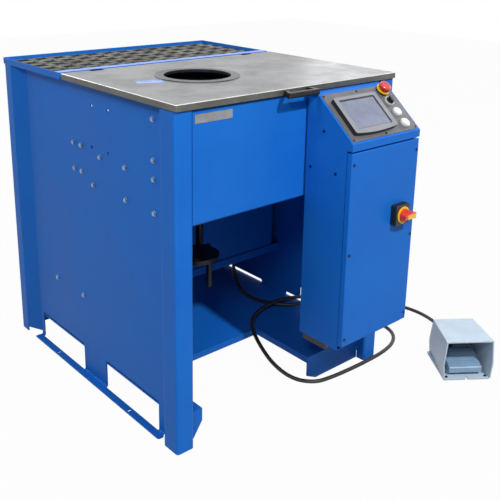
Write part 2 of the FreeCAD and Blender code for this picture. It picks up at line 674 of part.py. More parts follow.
def head_support():
    """Thick cross plate with turned-up ends, bolted to both side walls."""
    left, right = PANEL_INNER, TABLE_WIDTH - PANEL_INNER
    line = [(left, SUPPORT_BOTTOM + SUPPORT_FLANGE), (left, SUPPORT_BOTTOM), (right, SUPPORT_BOTTOM),
            (right, SUPPORT_BOTTOM + SUPPORT_FLANGE)]
    deep = SUPPORT_BACK - SUPPORT_FRONT
    plate = bent_sheet(list(reversed(line)), SUPPORT_SHEET, BEND, deep, "xz", SUPPORT_FRONT)
    plate = plate.cut(disc(AXIS_X, AXIS_Y, SUPPORT_BOTTOM - 1, HEAD_LOW + 1, SUPPORT_HOLE))
    for y, z in WALL_BOLTS:
        if SUPPORT_FRONT < y < SUPPORT_BACK and SUPPORT_BOTTOM < z < SUPPORT_BOTTOM + SUPPORT_FLANGE:
            plate = plate.cut(rod(Vector(PANEL_INNER - 1, y, z), X_DIR, WALL_BOLT_RADIUS + RUN_GAP,
                                  TABLE_WIDTH))
    return plate


def head_end_plate(z0, z1, keys_at):
    """End plate of the head. Its eight radial slots guide the keys on the dies."""
    plate = disc(AXIS_X, AXIS_Y, z0, z1, HEAD_RADIUS)
    plate = plate.cut(disc(AXIS_X, AXIS_Y, z0 - 1, z1 + 1, HEAD_HOLE))
    half = DIE_KEY_WIDTH / 2 + RUN_GAP
    deep = DIE_KEY_HEIGHT + RUN_GAP
    start = DIE_KEY_START - DIE_STROKE - 2 * RUN_GAP
    end = DIE_KEY_START + DIE_KEY_LENGTH + 2 * RUN_GAP
    low, high = (keys_at - 1, keys_at + deep) if keys_at == z0 else (keys_at - deep, keys_at + 1)
    for i in range(DIES):
        slot = box(AXIS_X + start, AXIS_X + end, AXIS_Y - half, AXIS_Y + half, low, high)
        slot.rotate(AXIS, Z_DIR, i * 360.0 / DIES)
        plate = plate.cut(slot)
    return plate


def press_cylinder():
    body = disc(AXIS_X, AXIS_Y, CYLINDER_LOW, CYLINDER_HIGH, HEAD_RADIUS)
    body = body.cut(disc(AXIS_X, AXIS_Y, CYLINDER_LOW - 1, CYLINDER_HIGH + 1, HEAD_BORE + BORE_GAP))
    for place in on_circle(HEAD_BOLTS, HEAD_BOLT_CIRCLE, HEAD_BOLT_START):
        body = body.cut(disc(place.x, place.y, CYLINDER_HIGH - HEAD_BOLT_GRIP - 2, CYLINDER_HIGH + 1,
                             HEAD_BOLT_RADIUS + RUN_GAP))
    return body


def cone_piston():
    """Ring piston whose eight-sided taper drives the dies inwards as it rises."""
    low = CYLINDER_LOW + RUN_GAP
    high = low + PISTON_LENGTH
    body = disc(AXIS_X, AXIS_Y, low, high, HEAD_BORE)
    slack = RUN_GAP * math.hypot(1, WEDGE_SLOPE)
    taper = Part.makeLoft([octagon(wedge_apothem(low - 1) + slack, low - 1),
                           octagon(wedge_apothem(high + 1) + slack, high + 1)], True, True)
    return body.cut(taper)


def die_segment(index):
    """One master die with its insert: a 45 degree sector with a flat, sloping back and two keys."""
    low, high = CYLINDER_LOW + RUN_GAP, CYLINDER_HIGH - RUN_GAP
    closed_shift = DIE_STROKE
    profile = [(DIE_OPEN_RADIUS + DIE_INSERT, low), (wedge_apothem(low), low),
               (wedge_apothem(high), high), (DIE_OPEN_RADIUS + DIE_INSERT, high)]
    wide = 2 * WEDGE_TOP_APOTHEM
    block = prism(profile, wide, "xz", -wide / 2)
    closed_inner = DIE_OPEN_RADIUS - DIE_STROKE
    sector = [(closed_shift, 0)]
    for side in (-1, 1):
        angle = side * math.pi / DIES
        reach = 2 * WEDGE_TOP_APOTHEM
        sector.append((closed_shift + reach * math.cos(angle), reach * math.sin(angle)))
    keep = prism(sector, high - low, at=low)
    keep.translate(Vector(DIE_SIDE_GAP / math.sin(math.pi / DIES), 0, 0))
    master = block.common(keep)
    master = master.cut(disc(closed_shift, 0, low - 1, high + 1, closed_inner + DIE_INSERT))
    insert = disc(closed_shift, 0, low + 20, high - 20, closed_inner + DIE_INSERT - 0.01)
    insert = insert.cut(disc(closed_shift, 0, low, high, closed_inner)).common(keep)
    for z in (low - DIE_KEY_HEIGHT, high):
        master = master.fuse(box(DIE_KEY_START, DIE_KEY_START + DIE_KEY_LENGTH, -DIE_KEY_WIDTH / 2,
                                 DIE_KEY_WIDTH / 2, z, z + DIE_KEY_HEIGHT))
    master = master.removeSplitter()
    segment = Part.makeCompound([master, insert])
    segment.rotate(Vector(), Z_DIR, index * 360.0 / DIES)
    segment.translate(AXIS)
    return segment


def head_bolts():
    bolts = []
    for place in on_circle(HEAD_BOLTS, HEAD_BOLT_CIRCLE, HEAD_BOLT_START):
        head = disc(place.x, place.y, HEAD_TOP, HEAD_TOP + HEAD_BOLT_HEAD[1], HEAD_BOLT_HEAD[0])
        shank = disc(place.x, place.y, CYLINDER_HIGH - HEAD_BOLT_GRIP, HEAD_TOP, HEAD_BOLT_RADIUS)
        bolts.append(head.fuse(shank).removeSplitter())
    return Part.makeCompound(bolts)


DIE_KEY_START = wedge_apothem(CYLINDER_LOW) - DIE_KEY_LENGTH - 1.0
head_top = head_end_plate(CYLINDER_HIGH, HEAD_TOP, CYLINDER_HIGH)
for bolt_place in on_circle(HEAD_BOLTS, HEAD_BOLT_CIRCLE, HEAD_BOLT_START):
    head_top = head_top.cut(disc(bolt_place.x, bolt_place.y, CYLINDER_HIGH - 1, HEAD_TOP + 1,
                                 HEAD_BOLT_RADIUS + RUN_GAP))
parts["head_support"] = head_support()
parts["head_bottom_plate"] = head_end_plate(HEAD_LOW, CYLINDER_LOW, CYLINDER_LOW)
parts["head_top_plate"] = head_top
parts["press_cylinder"] = press_cylinder()
parts["cone_piston"] = cone_piston()
parts["head_bolts"] = head_bolts()
for number in range(DIES):
    parts["die_%d" % (number + 1)] = die_segment(number)


# Depth stop

STOP_COLUMN = AXIS + Vector(STOP_OFFSET[0], STOP_OFFSET[1], 0)
STOP_LOW = STOP_TOP - STOP_THICK


def stop_carriage():
    """Clamp on the column and an arm that reaches under the disc."""
    low = STOP_LOW - STOP_CLAMP_HEIGHT
    clamp = disc(STOP_COLUMN.x, STOP_COLUMN.y, low, STOP_LOW, STOP_CLAMP_RADIUS)
    reach = math.hypot(*STOP_OFFSET)
    arm = box(0, reach, -STOP_ARM_WIDTH / 2, STOP_ARM_WIDTH / 2, STOP_LOW - 14, STOP_LOW)
    arm = arm.fuse(disc(0, 0, STOP_LOW - 14, STOP_LOW, STOP_ARM_WIDTH / 2 + 3))
    arm.rotate(Vector(), Z_DIR, math.degrees(math.atan2(STOP_OFFSET[1], STOP_OFFSET[0])))
    arm.translate(AXIS)
    rod_low = STOP_LOW - STOP_ROD_LENGTH
    rod_x, rod_y = AXIS_X + STOP_ROD[0], AXIS_Y + STOP_ROD[1]
    guide = disc(rod_x, rod_y, rod_low, STOP_LOW, STOP_ROD_RADIUS)
    branch = box(AXIS_X, rod_x, rod_y - STOP_ROD_RADIUS, rod_y + STOP_ROD_RADIUS, STOP_LOW - 14, STOP_LOW)
    body = fuse([clamp, arm, guide, branch])
    bore = disc(STOP_COLUMN.x, STOP_COLUMN.y, low - 1, STOP_LOW + 1, STOP_COLUMN_RADIUS + BORE_GAP)
    screw = rod(Vector(STOP_COLUMN.x, STOP_COLUMN.y, low + STOP_CLAMP_HEIGHT / 2), X_DIR, 3 + RUN_GAP, 40)
    return body.cut(bore).cut(screw)


def stop_disc():
    plate = disc(AXIS_X, AXIS_Y, STOP_LOW, STOP_TOP, STOP_RADIUS)
    rims = [e for e in plate.Edges if e.Length > STOP_RADIUS]
    plate = plate.makeFillet(3.0, rims)
    pad_x, pad_y = AXIS_X + STOP_PAD[0], AXIS_Y + STOP_PAD[1]
    return plate.cut(disc(pad_x, pad_y, STOP_TOP - 4, STOP_TOP + 1, 8.0))


def stop_knob():
    z = STOP_LOW - STOP_CLAMP_HEIGHT / 2
    start = Vector(STOP_COLUMN.x + STOP_COLUMN_RADIUS + RUN_GAP, STOP_COLUMN.y, z)
    knob = rod(start + Vector(STOP_CLAMP_RADIUS - STOP_COLUMN_RADIUS + 3, 0, 0), X_DIR, 15, 16)
    for i in range(6):
        angle = math.radians(60 * i)
        dent = Vector(start.x, start.y + 18 * math.cos(angle), z + 18 * math.sin(angle))
        knob = knob.cut(rod(dent, X_DIR, 5, 40))
    return knob.fuse(rod(start, X_DIR, 3, 16))


parts["stop_column"] = disc(STOP_COLUMN.x, STOP_COLUMN.y, STOP_COLUMN_END, SUPPORT_BOTTOM,
                            STOP_COLUMN_RADIUS)
parts["stop_carriage"] = stop_carriage()
parts["stop_disc"] = stop_disc()
parts["stop_pad"] = disc(AXIS_X + STOP_PAD[0], AXIS_Y + STOP_PAD[1], STOP_TOP - 4, STOP_TOP + 2, 8.0)
parts["stop_knob"] = stop_knob()


# Hydraulic unit

def drip_tray():
    left, right = PANEL_INNER, TABLE_WIDTH - PANEL_INNER
    tray = box(left, right, TRAY_FRONT, TRAY_BACK, TRAY_BOTTOM, TRAY_BOTTOM + TRAY_EAR)
    tray = tray.cut(box(left + TRAY_SHEET, right - TRAY_SHEET, TRAY_FRONT + TRAY_SHEET,
                        TRAY_BACK - TRAY_SHEET, TRAY_BOTTOM + TRAY_SHEET, TRAY_BOTTOM + TRAY_EAR + 1))
    tray = tray.cut(box(left + TRAY_SHEET, right - TRAY_SHEET, TRAY_FRONT - 1, TRAY_BACK + 1,
                        TRAY_BOTTOM + TRAY_HEIGHT, TRAY_BOTTOM + TRAY_EAR + 1))
    for y, z in WALL_BOLTS:
        if TRAY_BOTTOM < z < TRAY_BOTTOM + TRAY_EAR:
            tray = tray.cut(rod(Vector(left - 1, y, z), X_DIR, WALL_BOLT_RADIUS + RUN_GAP, TABLE_WIDTH))
    gland = CABLE_POINTS[0]
    return tray.cut(disc(gland[0], gland[1], TRAY_BOTTOM - 1, TRAY_BOTTOM + TRAY_SHEET + 1, 8.0))


def tank():
    """A welded tub and the plate that closes it and carries the motor, pump and valves."""
    body = rounded_plate(TANK_LEFT, TANK_RIGHT, TRAY_FRONT + TRAY_SHEET + 3, TRAY_BACK - TRAY_SHEET - 12,
                         TRAY_BOTTOM + TRAY_SHEET, TANK_TOP, TANK_CORNER)
    gland = CABLE_POINTS[0]
    t = TANK_SHEET
    front, back = TRAY_FRONT + TRAY_SHEET + 3, TRAY_BACK - TRAY_SHEET - 12
    body = body.cut(rounded_plate(TANK_LEFT + t, TANK_RIGHT - t, front + t, back - t,
                                  TRAY_BOTTOM + TRAY_SHEET + TANK_FLOOR, TANK_TOP + 1, TANK_CORNER - t))
    body = body.cut(disc(gland[0], gland[1], TRAY_BOTTOM, TRAY_BOTTOM + 20, 14.0))
    lid = box(TANK_LEFT - TANK_MARGIN, TANK_RIGHT + TANK_MARGIN, TRAY_FRONT + 2, TRAY_BACK - 10,
              TANK_TOP, TANK_TOP + TANK_LID)
    return Part.makeCompound([body, lid])


def electric_motor():
    """Finned motor lying on the tank, with its foot and terminal box."""
    low = TANK_TOP + TANK_LID
    z = low + MOTOR_HEIGHT
    start = Vector(MOTOR_START, MOTOR_Y, z)
    body = rod(start, X_DIR, MOTOR_RADIUS - MOTOR_FIN, MOTOR_LENGTH)
    half = MOTOR_FIN_THICK / 2
    fins = []
    for i in range(MOTOR_FINS):
        fin = box(MOTOR_START + MOTOR_FLANGE, MOTOR_START + MOTOR_LENGTH - MOTOR_COWL, MOTOR_Y - half,
                  MOTOR_Y + half, z, z + MOTOR_RADIUS)
        fin.rotate(start, X_DIR, (i + 0.5) * 360.0 / MOTOR_FINS)
        fins.append(fin)
    cowl = rod(start + Vector(MOTOR_LENGTH - MOTOR_COWL, 0, 0), X_DIR, MOTOR_RADIUS, MOTOR_COWL)
    flange = rod(start, X_DIR, MOTOR_RADIUS, MOTOR_FLANGE)
    near, far, half = MOTOR_FOOT
    foot = box(MOTOR_START + near, MOTOR_START + far, MOTOR_Y - half, MOTOR_Y + half, low, low + MOTOR_FLANGE)
    near, far, half = MOTOR_LEGS
    legs = box(MOTOR_START + near, MOTOR_START + far, MOTOR_Y - half, MOTOR_Y + half, low + MOTOR_FIN, z)
    near, far, half, under, over = TERMINAL_BOX
    terminal = box(MOTOR_START + near, MOTOR_START + far, MOTOR_Y - half, MOTOR_Y + half, z + under, z + over)
    return fuse([body, cowl, flange, foot, legs, terminal] + fins)


def pump():
    """Bell housing, gear body and suction pipe, in line with the motor."""
    z = TANK_TOP + TANK_LID + MOTOR_HEIGHT
    bell = rod(Vector(MOTOR_START - PUMP_BELL[1], MOTOR_Y, z), X_DIR, *PUMP_BELL)
    gears_start = MOTOR_START - PUMP_BELL[1] - PUMP_BODY[1]
    gears = rod(Vector(gears_start, MOTOR_Y, z), X_DIR, *PUMP_BODY)
    suction = disc(gears_start + PUMP_BODY[1] / 2, MOTOR_Y, TANK_TOP + TANK_LID, z, SUCTION_RADIUS)
    return fuse([bell, gears, suction])


def valve_block():
    x0, y0 = VALVE_X, MOTOR_Y - VALVE_SIZE[1] / 2
    z0 = TANK_TOP + TANK_LID
    block = box(x0, x0 + VALVE_SIZE[0], y0, y0 + VALVE_SIZE[1], z0, z0 + VALVE_SIZE[2])
    coils = [disc(x0 + VALVE_SIZE[0] / 2, y0 + 24 + 48 * i, z0 + VALVE_SIZE[2], z0 + VALVE_SIZE[2] + 60, 19)
             for i in range(2)]
    return fuse([block] + coils)


def pressure_pipe():
    """Straight pipe with a union nut at each end, from the valve block to the cylinder wall."""
    x = VALVE_X + VALVE_SIZE[0] / 2
    z = TANK_TOP + TANK_LID + VALVE_SIZE[2] * 0.75
    inner = AXIS_Y + math.sqrt((HEAD_RADIUS + RUN_GAP) ** 2 - (x + 14 - AXIS_X) ** 2)
    outer = MOTOR_Y - VALVE_SIZE[1] / 2
    pipe = rod(Vector(x, inner, z), Y_DIR, PIPE_RADIUS, outer - inner)
    nuts = [rod(Vector(x, inner, z), Y_DIR, 14, 22), rod(Vector(x, outer - 22, z), Y_DIR, 14, 22)]
    return fuse([pipe] + nuts)


def filler_cap():
    z = TANK_TOP + TANK_LID
    neck = disc(FILLER_AT[0], FILLER_AT[1], z, z + 20, 22)
    return neck.fuse(disc(FILLER_AT[0], FILLER_AT[1], z + 20, z + 46, 32)).removeSplitter()


parts["drip_tray"] = drip_tray()
parts["oil_tank"] = tank()
parts["electric_motor"] = electric_motor()
parts["hydraulic_pump"] = pump()
parts["valve_block"] = valve_block()
parts["pressure_pipe"] = pressure_pipe()
parts["filler_cap"] = filler_cap()


# Control cabinet

def console_place(shape):
    """Moves a shape from console coordinates (right, up the slope, out of the slope) onto the slope."""
    shape.rotate(Vector(), X_DIR, CONSOLE_ANGLE)
    shape.translate(Vector(CABINET_LEFT, -CABINET_DEPTH, LIP_TOP))
    return shape


def cabinet_box():
    """Welded case with an open front and an opening under the console plate."""
    step = -CABINET_DEPTH + COVER_TRAY + COVER_GAP
    lip_low = LIP_BOTTOM
    side = [(-CABINET_BACK, CABINET_BOTTOM), (step, CABINET_BOTTOM), (step, lip_low),
            (-CABINET_DEPTH, lip_low), (-CABINET_DEPTH, LIP_TOP), (-CONSOLE_TOP_SETBACK, CONSOLE_TOP),
            (-CABINET_BACK, CONSOLE_TOP)]
    case = prism(side, CABINET_WIDTH, "yz", CABINET_LEFT)
    t = CABINET_SHEET
    lean = t * math.tan(math.radians(CONSOLE_ANGLE / 2))
    inner = [(-CABINET_BACK - t, CABINET_BOTTOM + t), (step - 1, CABINET_BOTTOM + t), (step - 1, lip_low + t),
             (-CABINET_DEPTH + t, lip_low + t), (-CABINET_DEPTH + t, LIP_TOP - lean),
             (-CONSOLE_TOP_SETBACK - lean, CONSOLE_TOP - t), (-CABINET_BACK - t, CONSOLE_TOP - t)]
    case = case.cut(prism(inner, CABINET_WIDTH - 2 * t, "yz", CABINET_LEFT + t))
    hatch = box(16, CABINET_WIDTH - 16, 14, CONSOLE_LENGTH - 12, -6, 1)
    case = case.cut(console_place(hatch))
    for u, v in console_holes():
        case = case.cut(console_place(disc(u, v, -8, 1, 12)))
    return fuse([case] + cover_tabs() + cabinet_rails())


def cover_tabs():
    """Six tabs inside the case that the cover screws hold on to."""
    tabs = []
    t = CABINET_SHEET
    front = -CABINET_DEPTH + t
    for z in COVER_SCREW_Z:
        for wall, inward in ((CABINET_LEFT + t, 1), (CABINET_RIGHT - t, -1)):
            for gap, start in ((0.5, front), (-0.5, front + COVER_TRAY + COVER_GAP)):
                ends = sorted((wall + gap * inward, wall + 18 * inward))
                tabs.append(box(ends[0], ends[1], start, front + 44, z - 9, z + 9))
    return tabs


def console_holes():
    return [(BUTTON_U, BUTTON_V + i * BUTTON_PITCH) for i in range(4)]


def cabinet_cover():
    """The front cover: a shallow tray held by six screws."""
    low, high = COVER_BOTTOM, COVER_TOP
    tray = box(CABINET_LEFT, CABINET_RIGHT, -CABINET_DEPTH, -CABINET_DEPTH + COVER_TRAY, low, high)
    front = [e for e in tray.Edges if e.BoundBox.YMax < -CABINET_DEPTH + 1]
    tray = tray.makeFillet(3.0, front)
    t = CABINET_SHEET
    tray = tray.cut(box(CABINET_LEFT + t, CABINET_RIGHT - t, -CABINET_DEPTH + t,
                        -CABINET_DEPTH + COVER_TRAY + 1, low + t, high - t))
    return tray.cut(rod(Vector(SWITCH_X, -CABINET_DEPTH - 1, SWITCH_Z), Y_DIR, 14, 10))


def cabinet_screws():
    """Black dome screws: six on the cover and three on the left side."""
    screws = []
    radius, height = DOME_SCREW
    for x in (CABINET_LEFT + COVER_SCREW_INSET, CABINET_RIGHT - COVER_SCREW_INSET):
        for z in COVER_SCREW_Z:
            screws.append(rod(Vector(x, -CABINET_DEPTH, z), Vector(0, -1, 0), radius, height))
    for y, z in SIDE_SCREWS:
        screws.append(rod(Vector(CABINET_LEFT, y, z), Vector(-1, 0, 0), radius, height))
    return Part.makeCompound(screws)


def cabinet_rails():
    """Two rails to the front panel and a strap to the right post carry the cabinet."""
    rails = [box(CABINET_LEFT + RAIL_INSET, CABINET_RIGHT - RAIL_INSET, -CABINET_BACK, FRONT_PANEL_RECESS,
                 z, z + RAIL_HEIGHT) for z in RAIL_LOWS]
    strap = box(CABINET_RIGHT - STRAP_REACH, TABLE_WIDTH - WALL_OUTER - BEND * 2, -CABINET_BACK, 0,
                STRAP_LOW, STRAP_LOW + STRAP_HEIGHT)
    return rails + [strap]


def console_plate():
    m = CONSOLE_MARGIN
    plate = rounded_plate(m, CABINET_WIDTH - m, m, CONSOLE_LENGTH - m, 0, CONSOLE_PLATE, 3.0)
    for u, v in console_holes():
        plate = plate.cut(disc(u, v, -1, CONSOLE_PLATE + 1, 11.5))
    window = box(SCREEN_U + 8, SCREEN_U + SCREEN_WIDTH - 8, SCREEN_V + 8, SCREEN_V + SCREEN_HEIGHT - 8,
                 -1, CONSOLE_PLATE + 1)
    return console_place(plate.cut(window))


def touch_panel():
    """Raised bezel with a bowed lower edge and a recess for the glass."""
    low, high = CONSOLE_PLATE, CONSOLE_PLATE + SCREEN_THICK
    left, right = SCREEN_U, SCREEN_U + SCREEN_WIDTH
    bottom, top = SCREEN_V, SCREEN_V + SCREEN_HEIGHT
    edges = [
        Part.LineSegment(Vector(left, bottom, low), Vector(left, top, low)).toShape(),
        Part.LineSegment(Vector(left, top, low), Vector(right, top, low)).toShape(),
        Part.LineSegment(Vector(right, top, low), Vector(right, bottom, low)).toShape(),
        Part.Arc(Vector(right, bottom, low), Vector((left + right) / 2, bottom - 7, low),
                 Vector(left, bottom, low)).toShape(),
    ]
    bezel = Part.Face(Part.Wire(edges)).extrude(Vector(0, 0, SCREEN_THICK))
    upright = [e for e in bezel.Edges if e.BoundBox.ZLength > 1 and e.Length < SCREEN_THICK + 0.1]
    bezel = bezel.makeFillet(7.0, upright)
    g = GLASS_MARGIN
    bezel = bezel.cut(box(left + g, right - g, bottom + g - 6, top - g + 6, high - 3, high + 1))
    body = box(left + 10, right - 10, bottom + 10, top - 10, -36, low)
    return console_place(bezel.fuse(body).removeSplitter())


def touch_glass():
    g = GLASS_MARGIN
    return console_place(box(SCREEN_U + g, SCREEN_U + SCREEN_WIDTH - g, SCREEN_V + g - 6,
                             SCREEN_V + SCREEN_HEIGHT - g + 6, CONSOLE_PLATE + SCREEN_THICK - 3,
                             CONSOLE_PLATE + SCREEN_THICK - 1.5))


def ring_at(u, v, low, high, outer, inner):
    return disc(u, v, low, high, outer).cut(disc(u, v, low - 1, high + 1, inner))


def control_bezels():
    rings = []
    for i in range(3):
        v = BUTTON_V + i * BUTTON_PITCH
        floor = ring_at(BUTTON_U, v, CONSOLE_PLATE, CONSOLE_PLATE + BEZEL_FLOOR, BUTTON_RADIUS, BARREL_BORE)
        collar = ring_at(BUTTON_U, v, CONSOLE_PLATE, CONSOLE_PLATE + BEZEL_HEIGHT, BUTTON_RADIUS,
                         BUTTON_CAP_RADIUS + RUN_GAP)
        barrel = ring_at(BUTTON_U, v, -BARREL_DEPTH, CONSOLE_PLATE, BARREL_RADIUS, BARREL_BORE)
        rings.append(console_place(fuse([floor, collar, barrel])))
    return Part.makeCompound(rings)


def push_button(index):
    """Round cap with a plunger inside its barrel."""
    v = BUTTON_V + index * BUTTON_PITCH
    low = CONSOLE_PLATE + BEZEL_FLOOR + BUTTON_TRAVEL + RUN_GAP
    cap = disc(BUTTON_U, v, low, low + 3.5, BUTTON_CAP_RADIUS)
    cap = cap.makeFillet(0.8, [e for e in cap.Edges if e.BoundBox.ZMin > low + 3])
    stem = disc(BUTTON_U, v, -20, low, BARREL_BORE - RUN_GAP)
    return console_place(cap.fuse(stem).removeSplitter())


def selector_knob():
    v = BUTTON_V + 2 * BUTTON_PITCH
    low = CONSOLE_PLATE + BEZEL_FLOOR + RUN_GAP
    base = disc(BUTTON_U, v, low, low + 5, BUTTON_CAP_RADIUS - 0.2)
    fin = rounded_plate(BUTTON_U - 3.5, BUTTON_U + 3.5, v - 10.5, v + 10.5, low + 5, low + 14, 3.0)
    stem = disc(BUTTON_U, v, -20, low, BARREL_BORE - RUN_GAP)
    return console_place(fuse([base, fin, stem]))


ESTOP_V = BUTTON_V + 3 * BUTTON_PITCH


def estop_base():
    high = CONSOLE_PLATE + ESTOP_BASE_HEIGHT
    collar = ring_at(BUTTON_U, ESTOP_V, CONSOLE_PLATE, high, ESTOP_BASE_RADIUS, BARREL_RADIUS)
    barrel = ring_at(BUTTON_U, ESTOP_V, -BARREL_DEPTH, CONSOLE_PLATE, BARREL_RADIUS,
                     ESTOP_STEM_RADIUS + RUN_GAP)
    foot = ring_at(BUTTON_U, ESTOP_V, CONSOLE_PLATE, CONSOLE_PLATE + 2, ESTOP_BASE_RADIUS,
                   ESTOP_STEM_RADIUS + RUN_GAP)
    yellow = ring_at(BUTTON_U, ESTOP_V, CONSOLE_PLATE + ESTOP_COLLAR, high, ESTOP_BASE_RADIUS + 1.5,
                     BARREL_RADIUS)
    return console_place(fuse([collar, barrel, foot, yellow]))


def estop_stem():
    return console_place(disc(BUTTON_U, ESTOP_V, -22, CONSOLE_PLATE + ESTOP_STEM_TOP, ESTOP_STEM_RADIUS))


def estop_cap():
    """Mushroom cap that turns on its stem."""
    low = CONSOLE_PLATE + ESTOP_BASE_HEIGHT + ESTOP_TRAVEL + RUN_GAP
    high = low + ESTOP_CAP_HEIGHT
    cap = disc(BUTTON_U, ESTOP_V, low, high, ESTOP_CAP_RADIUS)
    cap = cap.makeFillet(5.0, [e for e in cap.Edges if e.BoundBox.ZMin > high - 1])
    cap = cap.makeFillet(2.0, [e for e in cap.Edges if e.BoundBox.ZMax < low + 0.1])
    return console_place(cap.cut(disc(BUTTON_U, ESTOP_V, low - 1, CONSOLE_PLATE + ESTOP_STEM_TOP + RUN_GAP,
                                      ESTOP_STEM_RADIUS + BORE_GAP)))


def switch_base():
    half = SWITCH_SIZE / 2
    plate = rounded_plate(-half, half, -half, half, 0, SWITCH_DEPTH, 5.0)
    rim = [e for e in plate.Edges if e.BoundBox.ZMin > SWITCH_DEPTH - 0.1]
    plate = plate.makeFillet(2.0, rim)
    shaft_hole = disc(0, 0, -21, SWITCH_DEPTH + 1, 5 + BORE_GAP)
    body = box(-22, 22, -22, 22, -40, -COVER_TRAY)
    neck = disc(0, 0, -COVER_TRAY, 0, 13.5)
    ring = ring_at(0, 0, SWITCH_DEPTH, SWITCH_DEPTH + 3, 26, 20)
    return switch_place(fuse([plate, neck, body, ring]).cut(shaft_hole))


def switch_place(shape):
    """Turns a shape from its own frame so that its z points out of the cabinet cover."""
    shape.rotate(Vector(), X_DIR, 90)
    shape.translate(Vector(SWITCH_X, -CABINET_DEPTH, SWITCH_Z))
    return shape


def switch_handle():
    """Rotary handle: a round hub with a tapered grip that stands out of the cover."""
    low = SWITCH_DEPTH + 0.5
    hub = disc(0, 0, low, low + 8, 19.5)
    grip = prism([(-20, -7), (30, -9), (30, 9), (-20, 7)], 20, at=low + 6)
    grip = grip.makeFillet(2.5, [e for e in grip.Edges if e.BoundBox.ZMin > low + 25])
    shaft = disc(0, 0, -20, low, 5)
    return switch_place(fuse([hub, grip, shaft]))


def cable_entry():
    """Cable entry frame under the cabinet."""
    front = -CABINET_DEPTH * 0.6
    return box(CABINET_LEFT + 6, CABINET_LEFT + 6 + ENTRY_LENGTH, front, -14, CABINET_BOTTOM - ENTRY_HEIGHT,
               CABINET_BOTTOM)


parts["cabinet_box"] = cabinet_box()
parts["cabinet_cover"] = cabinet_cover()
parts["cabinet_screws"] = cabinet_screws()
parts["console_plate"] = console_plate()
parts["touch_panel"] = touch_panel()
parts["touch_glass"] = touch_glass()
parts["control_bezels"] = control_bezels()
parts["lower_button"] = push_button(0)
parts["upper_button"] = push_button(1)
parts["selector_knob"] = selector_knob()
parts["estop_base"] = estop_base()
parts["estop_stem"] = estop_stem()
parts["estop_cap"] = estop_cap()
parts["switch_base"] = switch_base()
parts["switch_handle"] = switch_handle()
parts["cable_entry"] = cable_entry()


# Foot pedal, made with its mouth at the origin and its length along y

def pedal_place(shape):
    shape.rotate(Vector(), Z_DIR, PEDAL_TURN)
    shape.translate(Vector(PEDAL_FRONT[0], PEDAL_FRONT[1], 0))
    return shape


def pedal_base():
    half = PEDAL_WIDTH / 2
    plate = rounded_plate(-half + 2, half - 2, 2, PEDAL_LENGTH, 0, PEDAL_BASE, 5.0)
    plate = plate.cut(box(-4, 4, 0, 16, -1, PEDAL_BASE + 1))
    for x in (-half + 14, half - 14):
        plate = plate.cut(disc(x, 14, -1, PEDAL_BASE + 1, 3.5))
    pivot_y, pivot_z = TREADLE_PIVOT
    ears = []
    for x in (-TREADLE_WIDTH / 2 - 6 - RUN_GAP, TREADLE_WIDTH / 2 + RUN_GAP):
        ear = box(x, x + 6, pivot_y - 14, pivot_y + 14, 0, pivot_z + 12)
        ears.append(ear)
    length = TREADLE_WIDTH + 2 * (6 + RUN_GAP)
    ears.append(rod(Vector(-length / 2, pivot_y, pivot_z), X_DIR, 4, length))
    return pedal_place(fuse([plate] + ears))


def guard_section(inset, y, narrow, height):
    half = PEDAL_WIDTH / 2 - inset - narrow
    low = PEDAL_BASE
    outline = [(-half, low), (half, low), (half + 5, 60), (half - 1, height - inset),
               (-half + 1, height - inset), (-half - 5, 60)]
    corners = [Vector(x, y, z) for x, z in outline]
    return Part.makePolygon(corners + corners[:1])


def pedal_guard():
    """Cast hood over the treadle, open at the front and narrower towards the back."""
    outer = Part.makeLoft([guard_section(0, 0, 0, PEDAL_HEIGHT),
                           guard_section(0, PEDAL_LENGTH, PEDAL_NARROW, PEDAL_HEIGHT - 6)], True, True)
    slope = [(PEDAL_LENGTH - PEDAL_REAR_SLOPE, PEDAL_HEIGHT + 1), (PEDAL_LENGTH + 1, PEDAL_HEIGHT + 1),
             (PEDAL_LENGTH + 1, 50), (PEDAL_LENGTH - 2, 50)]
    outer = outer.cut(prism(slope, 2 * PEDAL_WIDTH, "yz", -PEDAL_WIDTH))
    t = PEDAL_SHELL
    inner = Part.makeLoft([guard_section(t, -1, 0, PEDAL_HEIGHT),
                           guard_section(t, PEDAL_LENGTH, PEDAL_NARROW, PEDAL_HEIGHT - 6)], True, True)
    back = [(PEDAL_LENGTH - PEDAL_REAR_SLOPE - t, PEDAL_HEIGHT + 1), (PEDAL_LENGTH + 2, PEDAL_HEIGHT + 1),
            (PEDAL_LENGTH + 2, 0), (PEDAL_LENGTH - 2 - t, 0), (PEDAL_LENGTH - 2 - t, 50)]
    inner = inner.cut(prism(back, 2 * PEDAL_WIDTH, "yz", -PEDAL_WIDTH))
    hood = outer.cut(inner)
    hood = hood.cut(rod(Vector(0, PEDAL_LENGTH - 12, PEDAL_GLAND_Z), Y_DIR, 9, 20))
    return pedal_place(hood)


